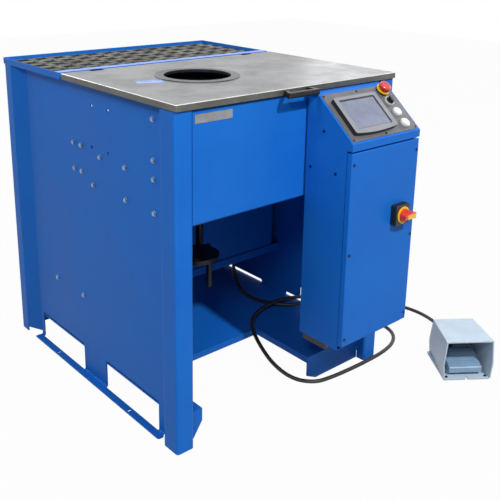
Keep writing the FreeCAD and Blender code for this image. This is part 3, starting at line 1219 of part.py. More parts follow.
def pedal_treadle():
    """Ribbed treadle that tips about a pin near the back."""
    y, z = TREADLE_PIVOT
    nose, fold, crown = TREADLE_TOP
    side = [(nose[0], TREADLE_NOSE_LOW), (nose[0], nose[1] - 3), (nose[0] + 3, nose[1]), fold, crown,
            (crown[0] + 12, crown[1]), (y + 8, z + 6), (y + 8, z - 8), (y - 6, z - 8),
            (crown[0], z - 4), (nose[0] + 12, TREADLE_NOSE_LOW + 4)]
    body = prism(side, TREADLE_WIDTH, "yz", -TREADLE_WIDTH / 2)
    for i in range(TREADLE_RIBS):
        at_y = nose[0] + 8 + (crown[0] - nose[0] - 12) * i / (TREADLE_RIBS - 1)
        first, last = (nose, fold) if at_y < fold[0] else (fold, crown)
        top = first[1] + (at_y - first[0]) * (last[1] - first[1]) / (last[0] - first[0])
        body = body.cut(box(-TREADLE_WIDTH, TREADLE_WIDTH, at_y - 2, at_y + 2, top - 2.5, top + 20))
    body = body.cut(rod(Vector(-TREADLE_WIDTH, y, z), X_DIR, 4 + BORE_GAP, 2 * TREADLE_WIDTH))
    return pedal_place(body)


def pedal_gland():
    low = PEDAL_LENGTH - 14
    nut = rod(Vector(0, PEDAL_LENGTH, PEDAL_GLAND_Z), Y_DIR, 13, GLAND_NUT)
    neck = rod(Vector(0, low, PEDAL_GLAND_Z), Y_DIR, 8.7, GLAND_NUT)
    return pedal_place(fuse([nut, neck]))


parts["pedal_base"] = pedal_base()
parts["pedal_guard"] = pedal_guard()
parts["pedal_treadle"] = pedal_treadle()
parts["pedal_gland"] = pedal_gland()


# Pedal cable

def cable_route():
    """The points typed above, then two in line with the pedal's gland, so that the cable enters straight."""
    along = Vector(math.sin(math.radians(-PEDAL_TURN)), math.cos(math.radians(-PEDAL_TURN)), 0)
    end = Vector(PEDAL_FRONT[0], PEDAL_FRONT[1], PEDAL_GLAND_Z) + along * (PEDAL_LENGTH + GLAND_NUT)
    return [Vector(*point) for point in CABLE_POINTS] + [end + along * CABLE_LEAD, end]


def cable_path(spots):
    """Straight runs joined by tangent arcs, each as large as its two runs allow."""
    edges, radii = [], []
    last = spots[0]
    for i in range(1, len(spots) - 1):
        before, after = spots[i] - spots[i - 1], spots[i + 1] - spots[i]
        turn = before.getAngle(after)
        reach = 0.45 * min(before.Length, after.Length)
        radii.append(reach / math.tan(turn / 2))
        start = spots[i] - before.normalize() * reach
        end = spots[i] + after.normalize() * reach
        towards = (before * -1 + after).normalize()
        bulge = radii[-1] / math.cos(turn / 2) - radii[-1]
        edges.append(Part.LineSegment(last, start).toShape())
        edges.append(Part.Arc(start, spots[i] + towards * bulge, end).toShape())
        last = end
    edges.append(Part.LineSegment(last, spots[-1]).toShape())
    return Part.Wire(edges), radii


def foot_cable():
    route = cable_route()
    path, radii = cable_path(route)
    start = route[0]
    lead = route[1] - start
    section = Part.Wire(Part.makeCircle(CABLE_RADIUS, start, lead))
    tube = path.makePipeShell([section], True, False)
    expected = math.pi * CABLE_RADIUS ** 2 * path.Length
    print("cable length %.0f mm, volume share %.4f" % (path.Length, tube.Volume / expected))
    print("cable radii", [round(r) for r in radii])
    return tube


def cable_gland():
    x, y = CABLE_POINTS[0][:2]
    nut = disc(x, y, CABLE_POINTS[0][2], TRAY_BOTTOM, 13)
    neck = disc(x, y, TRAY_BOTTOM, TRAY_BOTTOM + 16, 7.7)
    return nut.fuse(neck).removeSplitter()


parts["cable_gland"] = cable_gland()
parts["foot_cable"] = foot_cable()


# Move everything so that the origin is the middle of the footprint, then write the files

def footprint_middle():
    whole = FreeCAD.BoundBox()
    for name, shape in parts.items():
        if name != "foot_cable":
            whole.add(shape.BoundBox)
    return Vector((whole.XMin + whole.XMax) / 2, (whole.YMin + whole.YMax) / 2, whole.ZMin)


MIDDLE = footprint_middle()
os.makedirs("parts", exist_ok=True)
for name, shape in parts.items():
    shape.translate(MIDDLE * -1)
    shape.exportStep("parts/%s.step" % name)
print("nodes", len(parts), "origin moved by", MIDDLE)
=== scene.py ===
"""Looks of the vertical hose crimping press: stand, table, head, cabinet, foot pedal and its cable."""
import logging
import math
from dataclasses import dataclass, field
from enum import Enum
from typing import Callable, Optional, Sequence

import bmesh
import bpy
from mathutils import Matrix, Vector


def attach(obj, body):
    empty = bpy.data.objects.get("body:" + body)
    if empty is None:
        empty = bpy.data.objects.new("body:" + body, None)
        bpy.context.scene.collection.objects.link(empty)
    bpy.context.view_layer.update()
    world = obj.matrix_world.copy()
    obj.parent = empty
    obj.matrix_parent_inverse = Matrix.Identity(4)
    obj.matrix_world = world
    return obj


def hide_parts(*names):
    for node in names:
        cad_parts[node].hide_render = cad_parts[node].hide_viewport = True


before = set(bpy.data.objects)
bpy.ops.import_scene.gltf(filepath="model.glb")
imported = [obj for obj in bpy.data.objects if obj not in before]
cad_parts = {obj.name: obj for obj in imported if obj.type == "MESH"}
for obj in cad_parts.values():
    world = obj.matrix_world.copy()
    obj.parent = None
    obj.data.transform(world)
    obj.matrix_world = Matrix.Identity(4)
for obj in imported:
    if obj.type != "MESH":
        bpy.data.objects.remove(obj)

LOG = logging.getLogger("crimping_press")
MM = 0.001
Point = tuple[float, float, float]
Span = tuple[float, float]
FaceTest = Callable[[Vector, Vector], bool]

# Where the machine's own measuring corner lies in the row frame: on the floor, below the table's left
# edge and level with the front posts. Places on the machine are given from it, in millimetres.
CORNER = Vector((-0.5652175, -0.3168394, 0.0))

# The sRGB curve: a straight piece up to its limit, and a power above it.
SRGB_LIMIT = 0.04045
SRGB_SLOPE = 12.92
SRGB_OFFSET = 0.055
SRGB_POWER = 2.4

# Where Blender's Mix node keeps its two colours and their mix.
MIX_FIRST = 6
MIX_SECOND = 7
MIX_RESULT = 2

# How far the slow drift of colour and the fine grain are broken up, and which part of their range
# is stretched from one end of a finish to the other.
CLOUD_DETAIL = 4.0
CLOUD_BREAKUP = 0.6
CLOUD_RANGE = (0.38, 0.62)
GRAIN_DETAIL = 3.0
MIXED_RANGE = (0.7, 1.3)
LEAST_ROUGHNESS = 0.02

# Handling marks: dark oily patches a few centimetres across.
GRIME_COLOUR = "1c1a18"
GRIME_MM = 46.0
GRIME_DETAIL = 8.0
GRIME_BREAKUP = 0.7
GRIME_RANGE = (0.5, 0.75)

# How much of its own frequency a grain keeps along a brush line, or along a turned part's axis.
BRUSHED_SHARE = 0.02
TURNED_SHARE = 0.15

# Edges flatter than these many degrees are shaded smooth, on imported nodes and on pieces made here.
NODE_SMOOTH = 32.0
PIECE_SMOOTH = 35.0

# A rounded corner is a quarter turn, in a few steps.
CORNER_STEPS = 4
QUARTER_TURN = 90

# A domed screw head from its foot to its top: shares of its radius and of its height.
DOME_PROFILE = ((1.0, 0.0), (0.92, 0.55), (0.6, 0.9))
DOME_CORNERS = 16

# A tread bar seen from above, lens-shaped: shares of its half length and of its half width.
BAR_OUTLINE = ((-1, 0), (-0.6, -1), (0.6, -1), (1, 0), (0.6, 1), (-0.6, 1))


def at(x: float, y: float, z: float) -> Vector:
    """Turns a place measured from the machine's corner into the row frame.

    Args:
        x: Millimetres to the right of the table's left edge.
        y: Millimetres behind the front posts.
        z: Millimetres above the floor.

    Returns:
        The same place in metres, in the row frame.
    """
    return CORNER + Vector((x, y, z)) * MM


def linear(code: str) -> tuple[float, float, float, float]:
    """Turns an sRGB hex code into the linear colour that the shaders take.

    Args:
        code: Six hex digits, with or without a leading hash.

    Returns:
        Red, green, blue and an alpha of 1.
    """
    digits = code.lstrip("#")
    channels = []
    for start in (0, 2, 4):
        value = int(digits[start:start + 2], 16) / 255
        if value <= SRGB_LIMIT:
            channels.append(value / SRGB_SLOPE)
        else:
            channels.append(((value + SRGB_OFFSET) / (1 + SRGB_OFFSET)) ** SRGB_POWER)
    return channels[0], channels[1], channels[2], 1.0


def per_metre(size_mm: float) -> float:
    """Texture scale that makes one cell or wave size_mm long, as object coordinates are metres."""
    return 1000.0 / size_mm


def add_node(tree: bpy.types.NodeTree, kind: str, links: Optional[dict] = None,
             **settings: object) -> bpy.types.Node:
    """Adds a shader node with its settings and its inputs.

    Args:
        tree: The node tree that gets the node.
        kind: The node's type name.
        links: Input names or numbers, each with a value, or with an output socket to link from.
        settings: Properties of the node.

    Returns:
        The new node.
    """
    node = tree.nodes.new(kind)
    for name, value in settings.items():
        setattr(node, name, value)
    for key, value in (links or {}).items():
        if isinstance(value, bpy.types.NodeSocket):
            tree.links.new(value, node.inputs[key])
        else:
            node.inputs[key].default_value = value
    return node


def seen_directly(tree: bpy.types.NodeTree) -> bpy.types.NodeSocket:
    """Adds a factor that is 1 where the camera, a reflection or glass shows the white background.

    Args:
        tree: The node tree that gets the nodes.

    Returns:
        The factor's socket.
    """
    rays = add_node(tree, "ShaderNodeLightPath").outputs
    plain = add_node(tree, "ShaderNodeMath", {0: rays["Is Camera Ray"], 1: rays["Is Transmission Ray"]},
                     operation="MAXIMUM").outputs[0]
    return add_node(tree, "ShaderNodeMath", {0: plain, 1: rays["Is Glossy Ray"]},
                    operation="MAXIMUM").outputs[0]


class Pattern(Enum):
    """How a finish varies over its surface."""

    SPECKLE = "speckle"
    BRUSHED_X = "brushed along x"
    BRUSHED_Z = "brushed along z"
    TURNED = "turned"


@dataclass(frozen=True)
class Finish:
    """One surface finish: a base colour, a second colour that it drifts to, and its relief."""

    name: str
    colour: str
    drift: str
    roughness: float
    metallic: float = 0.0
    ior: float = 1.5
    coat: float = 0.0
    coat_roughness: float = 0.1
    pattern: Pattern = Pattern.SPECKLE
    grain_mm: float = 1.2
    relief_mm: float = 0.02
    cloud_mm: float = 180.0
    roughness_swing: float = 0.08
    grime: float = 0.0

    def stretch(self) -> Point:
        """Tells how the grain is drawn out.

        Returns:
            The share of its own frequency that it keeps along each axis.
        """
        return {
            Pattern.SPECKLE: (1.0, 1.0, 1.0),
            Pattern.BRUSHED_X: (BRUSHED_SHARE, 1.0, 1.0),
            Pattern.BRUSHED_Z: (1.0, 1.0, BRUSHED_SHARE),
            Pattern.TURNED: (1.0, 1.0, TURNED_SHARE),
        }[self.pattern]

    def material(self) -> bpy.types.Material:
        """Builds the material, or returns it if it is built already.

        Returns:
            The material with its colour drift, roughness swing and relief.
        """
        made = bpy.data.materials.get(self.name)
        if made:
            return made
        made = bpy.data.materials.new(self.name)
        made.use_nodes = True
        tree = made.node_tree
        tree.nodes.clear()
        place = add_node(tree, "ShaderNodeTexCoord").outputs["Object"]
        cloud = add_node(tree, "ShaderNodeTexNoise", {
            "Vector": place, "Scale": per_metre(self.cloud_mm), "Detail": CLOUD_DETAIL,
            "Roughness": CLOUD_BREAKUP}).outputs["Fac"]
        grain_place = add_node(tree, "ShaderNodeMapping", {"Vector": place, "Scale": self.stretch()})
        grain = add_node(tree, "ShaderNodeTexNoise", {
            "Vector": grain_place.outputs["Vector"], "Scale": per_metre(self.grain_mm),
            "Detail": GRAIN_DETAIL}).outputs["Fac"]
        spread = add_node(tree, "ShaderNodeMapRange", {
            "Value": cloud, "From Min": CLOUD_RANGE[0], "From Max": CLOUD_RANGE[1]})
        colour = add_node(tree, "ShaderNodeMix", {
            "Factor": spread.outputs["Result"], MIX_FIRST: linear(self.colour),
            MIX_SECOND: linear(self.drift)}, data_type="RGBA").outputs[MIX_RESULT]
        if self.grime > 0:
            colour = self.add_grime(tree, place, colour)
        mixed = add_node(tree, "ShaderNodeMath", {0: grain, 1: cloud}, operation="ADD").outputs[0]
        rough = add_node(tree, "ShaderNodeMapRange", {
            "Value": mixed, "From Min": MIXED_RANGE[0], "From Max": MIXED_RANGE[1],
            "To Min": max(LEAST_ROUGHNESS, self.roughness - self.roughness_swing),
            "To Max": min(1.0, self.roughness + self.roughness_swing)}).outputs["Result"]
        bump = add_node(tree, "ShaderNodeBump", {
            "Height": grain, "Strength": 1.0, "Distance": self.relief_mm * MM}).outputs["Normal"]
        shader = add_node(tree, "ShaderNodeBsdfPrincipled", {
            "Base Color": colour, "Roughness": rough, "Metallic": self.metallic, "IOR": self.ior,
            "Coat Weight": self.coat, "Coat Roughness": self.coat_roughness, "Normal": bump})
        add_node(tree, "ShaderNodeOutputMaterial", {"Surface": shader.outputs["BSDF"]})
        return made

    def add_grime(self, tree: bpy.types.NodeTree, place: bpy.types.NodeSocket,
                  colour: bpy.types.NodeSocket) -> bpy.types.NodeSocket:
        """Darkens a few patches, as handling and oil do.

        Args:
            tree: The material's node tree.
            place: Object coordinates.
            colour: The colour so far.

        Returns:
            The darkened colour.
        """
        spots = add_node(tree, "ShaderNodeTexNoise", {
            "Vector": place, "Scale": per_metre(GRIME_MM), "Detail": GRIME_DETAIL,
            "Roughness": GRIME_BREAKUP}).outputs["Fac"]
        mask = add_node(tree, "ShaderNodeMapRange", {
            "Value": spots, "From Min": GRIME_RANGE[0], "From Max": GRIME_RANGE[1],
            "To Max": self.grime}).outputs["Result"]
        return add_node(tree, "ShaderNodeMix", {
            "Factor": mask, MIX_FIRST: colour, MIX_SECOND: linear(GRIME_COLOUR)},
            data_type="RGBA").outputs[MIX_RESULT]


# The real grain of ground, brushed, anodised and moulded surfaces is about 0.1 to 0.4 mm, too fine
# to show at this distance, so each of them is drawn a few times coarser. The orange peel of the
# powder coat and the skin of the castings are drawn at their real size.

# Epoxy powder coat, baked: satin, with a very fine orange peel that softens its highlights.
BLUE_COAT = Finish("blue_powder_coat", "1265c1", "166ac6", 0.5, ior=1.25, coat=0.03,
                   coat_roughness=0.3, grain_mm=2.4, relief_mm=0.015, cloud_mm=260.0)
# The same powder coat, painted pale as painted light, for the brightly lit top of the rim's flange.
LIT_FLANGE_COAT = Finish("painted_light_powder_coat", "6f92e6", "86a4ec", 0.4, ior=1.3, grain_mm=2.4,
                     relief_mm=0.015, cloud_mm=90.0)
# Ground steel sheet: a dull mirror with fine scratches along its length and handling marks.
TABLE_SHEET = Finish("ground_steel_sheet", "868789", "757678", 0.34, metallic=0.85,
                     pattern=Pattern.BRUSHED_X, grain_mm=1.6, relief_mm=0.006, cloud_mm=120.0,
                     grime=0.25)
# Its folded skirt, with oily handling marks; its duller, browner colour than the top is painted shade,
# for the dark surroundings that its sides reflect.
TABLE_SKIRT_GRIME_AND_SHADE = Finish("sheet_skirt_grime_and_painted_shade", "5c5b56", "6a6963", 0.5, metallic=0.6, grain_mm=1.4,
                     relief_mm=0.01, cloud_mm=90.0, grime=0.3)
# The fold between them, painted pale: a painted highlight where the rounded edge catches the light.
TABLE_EDGE_HIGHLIGHT = Finish("painted_highlight_sheet_edge", "e2e2df", "d2d2cf", 0.3, metallic=0.7, grain_mm=1.0,
                    relief_mm=0.006, cloud_mm=60.0)
# Mild steel faced on a lathe: a little darker than the sheet round it, with oil marks.
RING_STEEL = Finish("machined_ring_steel", "68696c", "5a5b5f", 0.42, metallic=0.9, grain_mm=1.2,
                    relief_mm=0.006, cloud_mm=60.0, grime=0.3)
# Hot rolled tread plate, oiled: its mill scale is nearly black and hardly shines.
TREAD_BASE = Finish("rolled_tread_plate", "1f2126", "2a2c31", 0.8, ior=1.12, grain_mm=3.0,
                    relief_mm=0.05, cloud_mm=90.0, grime=0.4)
# Its raised bars, where shoes wear the scale to a dusty grey.
TREAD_BAR = Finish("worn_tread_bars", "7c7c71", "5c5d58", 0.6, metallic=0.1, ior=1.25, grain_mm=2.0,
                   relief_mm=0.02, cloud_mm=110.0, grime=0.35)
# Painted shade: black, where a deep narrow gap lies in shade.
HINGE_GAP_SHADE = Finish("painted_hinge_gap_shade", "060607", "0a0a0b", 0.9, ior=1.05, grain_mm=2.0, relief_mm=0.0,
                  cloud_mm=40.0)
# Vinyl film, calendered and cut: faded to a patchy pale blue.
LABEL_FILM = Finish("faded_vinyl_label", "5f84e0", "8fabee", 0.4, ior=1.4, grain_mm=1.0,
                    relief_mm=0.0, cloud_mm=22.0)
# Zinc plated steel: pale, slightly blue metal.
ZINC = Finish("zinc_plate", "8fa3bd", "7b90ac", 0.32, metallic=0.9, grain_mm=1.0, relief_mm=0.01,
              cloud_mm=20.0)
# Black oxide on steel: nearly black, with an oily sheen.
# It also paints the table ring's bore, as painted shade inside the hole.
BLACK_OXIDE_AND_BORE_SHADE = Finish("black_oxide_and_bore_shade", "1d1d1f", "28282b", 0.42, metallic=0.6, grain_mm=1.5,
                     relief_mm=0.02, cloud_mm=50.0)
# Turned steel of the head: mid grey, with faint marks drawn out along its axis, where oil runs down.
HEAD_STEEL = Finish("turned_head_steel", "5d5f63", "4c4e52", 0.36, metallic=1.0,
                    pattern=Pattern.TURNED, grain_mm=1.5, relief_mm=0.01, cloud_mm=80.0, grime=0.3)
# Hardened and ground die steel: darker, with upright grinding lines and dark oil.
DIE_STEEL = Finish("hardened_die_steel", "3f4043", "54565a", 0.3, metallic=1.0,
                   pattern=Pattern.BRUSHED_Z, grain_mm=1.5, relief_mm=0.008, cloud_mm=60.0, grime=0.4)
# Enamelled cast iron of the motor and pump: sandy skin under paint.
CAST_ENAMEL = Finish("enamelled_cast_iron", "4a4f55", "3f444a", 0.5, grain_mm=2.2, relief_mm=0.12,
                     cloud_mm=70.0)
# Anodised aluminium of the console plate: fine matt grey.
CONSOLE_ANODISED = Finish("grey_anodised_aluminium", "68686c", "5e5e62", 0.5, metallic=0.3,
                          grain_mm=0.8, relief_mm=0.006, cloud_mm=70.0)
# Black ABS, moulded in a spark-eroded tool: its fine texture turns shine into a soft sheen.
# It also paints the touch panel's sides and the screen seal's wider strips, as painted shade.
BLACK_ABS_AND_SHADE = Finish("black_abs_and_painted_shade", "121213", "18181a", 0.42, grain_mm=0.9, relief_mm=0.02,
                   cloud_mm=40.0)
# Silver-grey lacquer on the touch panel's moulded front: smooth, with a faint metal glint.
BEZEL_FRONT = Finish("silver_grey_bezel", "85878e", "7b7d84", 0.4, metallic=0.2, coat=0.1,
                     grain_mm=0.8, relief_mm=0.01, cloud_mm=60.0)
# Resistive touch screen, off: grey-blue film under a dull front.
SCREEN_FILM = Finish("touch_screen_film", "697188", "757d93", 0.28, coat=0.4, coat_roughness=0.15,
                     grain_mm=0.8, relief_mm=0.002, cloud_mm=90.0)
# White ABS, moulded in a polished tool: nearly even and glossy.
WHITE_ABS = Finish("white_moulded_cap", "dbdcdb", "d3d4d2", 0.3, coat=0.3, grain_mm=0.8,
                   relief_mm=0.005, cloud_mm=20.0)
# Red ABS of the emergency stop, moulded: deep red and glossy.
RED_ABS = Finish("red_moulded_abs", "c32a20", "b3211a", 0.3, coat=0.35, grain_mm=1.0,
                 relief_mm=0.008, cloud_mm=20.0)
# Orange-red ABS of the main switch's grip, moulded: lighter than the emergency stop's.
SWITCH_RED = Finish("orange_red_moulded_handle", "d9402a", "cc3524", 0.32, coat=0.3, grain_mm=1.0,
                    relief_mm=0.008, cloud_mm=25.0)
# Yellow ABS, moulded: warm, with a soft gloss.
YELLOW_ABS = Finish("yellow_moulded_abs", "f2c21e", "e6b417", 0.34, coat=0.2, grain_mm=1.0,
                    relief_mm=0.008, cloud_mm=20.0)
# Brass of the stop's pad, turned: golden, dulled by handling.
BRASS = Finish("turned_brass", "b08d57", "9c7a46", 0.28, metallic=1.0, grain_mm=1.0, relief_mm=0.01,
               cloud_mm=15.0)
# Pale blue-grey enamel on the pedal's cast hood: satin over a slightly uneven skin.
PEDAL_ENAMEL = Finish("pale_pedal_enamel", "bccddb", "b4c5d3", 0.42, coat=0.15, grain_mm=1.8,
                      relief_mm=0.03, cloud_mm=70.0)
# Aluminium casting of the treadle, painted a darker blue-grey: matt from wear.
TREADLE_ALLOY = Finish("painted_treadle_alloy", "84a2bd", "7c9ab5", 0.45, grain_mm=1.6,
                       relief_mm=0.03, cloud_mm=50.0)
# Rubber-sheathed cable, extruded: matt black with a soft sheen.
CABLE_RUBBER = Finish("black_cable_rubber", "161617", "1f1f21", 0.5, grain_mm=1.2, relief_mm=0.04,
                      cloud_mm=60.0)
# Rolled aluminium sheet of the blank name plate: bright grey and nearly smooth.
PLATE_BLANK = Finish("blank_name_plate", "9a9b9d", "8c8d90", 0.34, metallic=0.8, grain_mm=0.8,
                     relief_mm=0.004, cloud_mm=40.0)


def shade(piece: bpy.types.Object, smooth: float) -> None:
    """Shades a mesh smooth, apart from its sharp edges.

    Args:
        piece: The mesh's object.
        smooth: Edges flatter than this many degrees are shaded smooth.
    """
    if piece.data.has_custom_normals:
        with bpy.context.temp_override(object=piece, active_object=piece, selected_objects=[piece]):
            bpy.ops.mesh.customdata_custom_splitnormals_clear()
    with bpy.context.temp_override(object=piece, active_object=piece, selected_objects=[piece],
                                   selected_editable_objects=[piece]):
        bpy.ops.object.shade_smooth_by_angle(angle=math.radians(smooth))


def dress(name: str, finish: Finish, others: Sequence[tuple[Finish, FaceTest]] = ()) -> None:
    """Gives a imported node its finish, and other finishes to the faces that a test picks.

    Args:
        name: The node's name.
        finish: The finish of the whole node.
        others: More finishes, each with a test of a face's middle (mm from the corner) and its normal.
    """
    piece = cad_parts[name]
    mesh = piece.data
    mesh.materials.clear()
    mesh.materials.append(finish.material())
    for number, (other, test) in enumerate(others, start=1):
        mesh.materials.append(other.material())
        for face in mesh.polygons:
            middle = (face.center - CORNER) / MM
            if test(middle, face.normal):
                face.material_index = number
    shade(piece, NODE_SMOOTH)
    LOG.info("dressed %s as %s", name, finish.name)


def new_piece(name: str, mesh: bmesh.types.BMesh, finish: Finish, body: str) -> None:
    """Turns a finished mesh into a piece that rides on a body.

    Args:
        name: The piece's name.
        mesh: Its geometry, in the row frame. It is freed here.
        finish: Its finish.
        body: The body it rides on.
    """
    data = bpy.data.meshes.new(name)
    bmesh.ops.recalc_face_normals(mesh, faces=mesh.faces)
    mesh.to_mesh(data)
    mesh.free()
    piece = bpy.data.objects.new(name, data)
    bpy.context.scene.collection.objects.link(piece)
    data.materials.append(finish.material())
    shade(piece, PIECE_SMOOTH)
    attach(piece, body)
    LOG.info("made %s", name)


def skin(mesh: bmesh.types.BMesh, lower: Sequence[bmesh.types.BMVert],
         upper: Sequence[bmesh.types.BMVert]) -> None:
    """Joins two closed rings of points by a band of four-sided faces.

    Args:
        mesh: The mesh that gets the faces.
        lower: One ring.
        upper: The other ring, with as many points.
    """
    for i in range(len(lower)):
        j = (i + 1) % len(lower)
        mesh.faces.new((lower[i], lower[j], upper[j], upper[i]))


def rounded_slab(mesh: bmesh.types.BMesh, x: Span, z: Span, radius: float, front: float,
                 back: float) -> None:
    """Adds an upright slab with rounded corners that faces the front.

    Args:
        mesh: The mesh that gets it.
        x: Its left and right edges, in millimetres from the corner.
        z: Its lower and upper edges.
        radius: Corner radius.
        front: How far back its front face lies.
        back: How far back its back face lies.
    """
    outline = []
    for cx, cz, start in ((x[1], z[0], -90), (x[1], z[1], 0), (x[0], z[1], 90), (x[0], z[0], 180)):
        middle_x = cx - radius if cx == x[1] else cx + radius
        middle_z = cz + radius if cz == z[0] else cz - radius
        for step in range(CORNER_STEPS + 1):
            angle = math.radians(start + step * QUARTER_TURN / CORNER_STEPS)
            outline.append((middle_x + radius * math.cos(angle), middle_z + radius * math.sin(angle)))
    near = [mesh.verts.new(at(px, front, pz)) for px, pz in outline]
    far = [mesh.verts.new(at(px, back, pz)) for px, pz in outline]
    mesh.faces.new(near)
    mesh.faces.new(reversed(far))
    skin(mesh, near, far)


def block(mesh: bmesh.types.BMesh, x: Span, y: Span, z: Span, turn: float = 0.0) -> None:
    """Adds a box that may be turned about its own upright middle line.

    Args:
        mesh: The mesh that gets it.
        x: Its left and right ends, in millimetres from the corner.
        y: Its front and back ends.
        z: Its lower and upper ends.
        turn: Its turn in degrees.
    """
    middle = Vector(((x[0] + x[1]) / 2, (y[0] + y[1]) / 2))
    spin = Matrix.Rotation(math.radians(turn), 2)
    rings = []
    for height in z:
        ring = []
        for px, py in ((x[0], y[0]), (x[1], y[0]), (x[1], y[1]), (x[0], y[1])):
            spot = middle + spin @ (Vector((px, py)) - middle)
            ring.append(mesh.verts.new(at(spot.x, spot.y, height)))
        rings.append(ring)
    low, high = rings
    mesh.faces.new(reversed(low))
    mesh.faces.new(high)
    skin(mesh, low, high)


@dataclass
class Stand:
    """The folded-sheet stand with its covers, tray, tank and bolts."""

    painted: tuple[str, ...] = ("left_wall", "right_wall", "base_plate", "front_panel", "back_panel",
                                "rear_rim", "head_support", "drip_tray", "oil_tank")
    plate_x: Span = (65.0, 189.0)
    plate_z: Span = (942.0, 966.0)
    plate_corner: float = 2.0
    plate_proud: float = 1.0
    plate_gap: float = 0.05
    panel_y: float = 4.0

    def build(self) -> None:
        """Paints the sheets, plates the bolts and adds the blank name plate."""
        for name in self.painted:
            dress(name, BLUE_COAT)
        dress("wall_bolts", ZINC)
        self.name_plate()

    def name_plate(self) -> None:
        """A thin bare plate with rounded corners, at the front panel's upper left."""
        mesh = bmesh.new()
        rounded_slab(mesh, self.plate_x, self.plate_z, self.plate_corner,
                     self.panel_y - self.plate_proud, self.panel_y - self.plate_gap)
        new_piece("blank_plate", mesh, PLATE_BLANK, "stand")


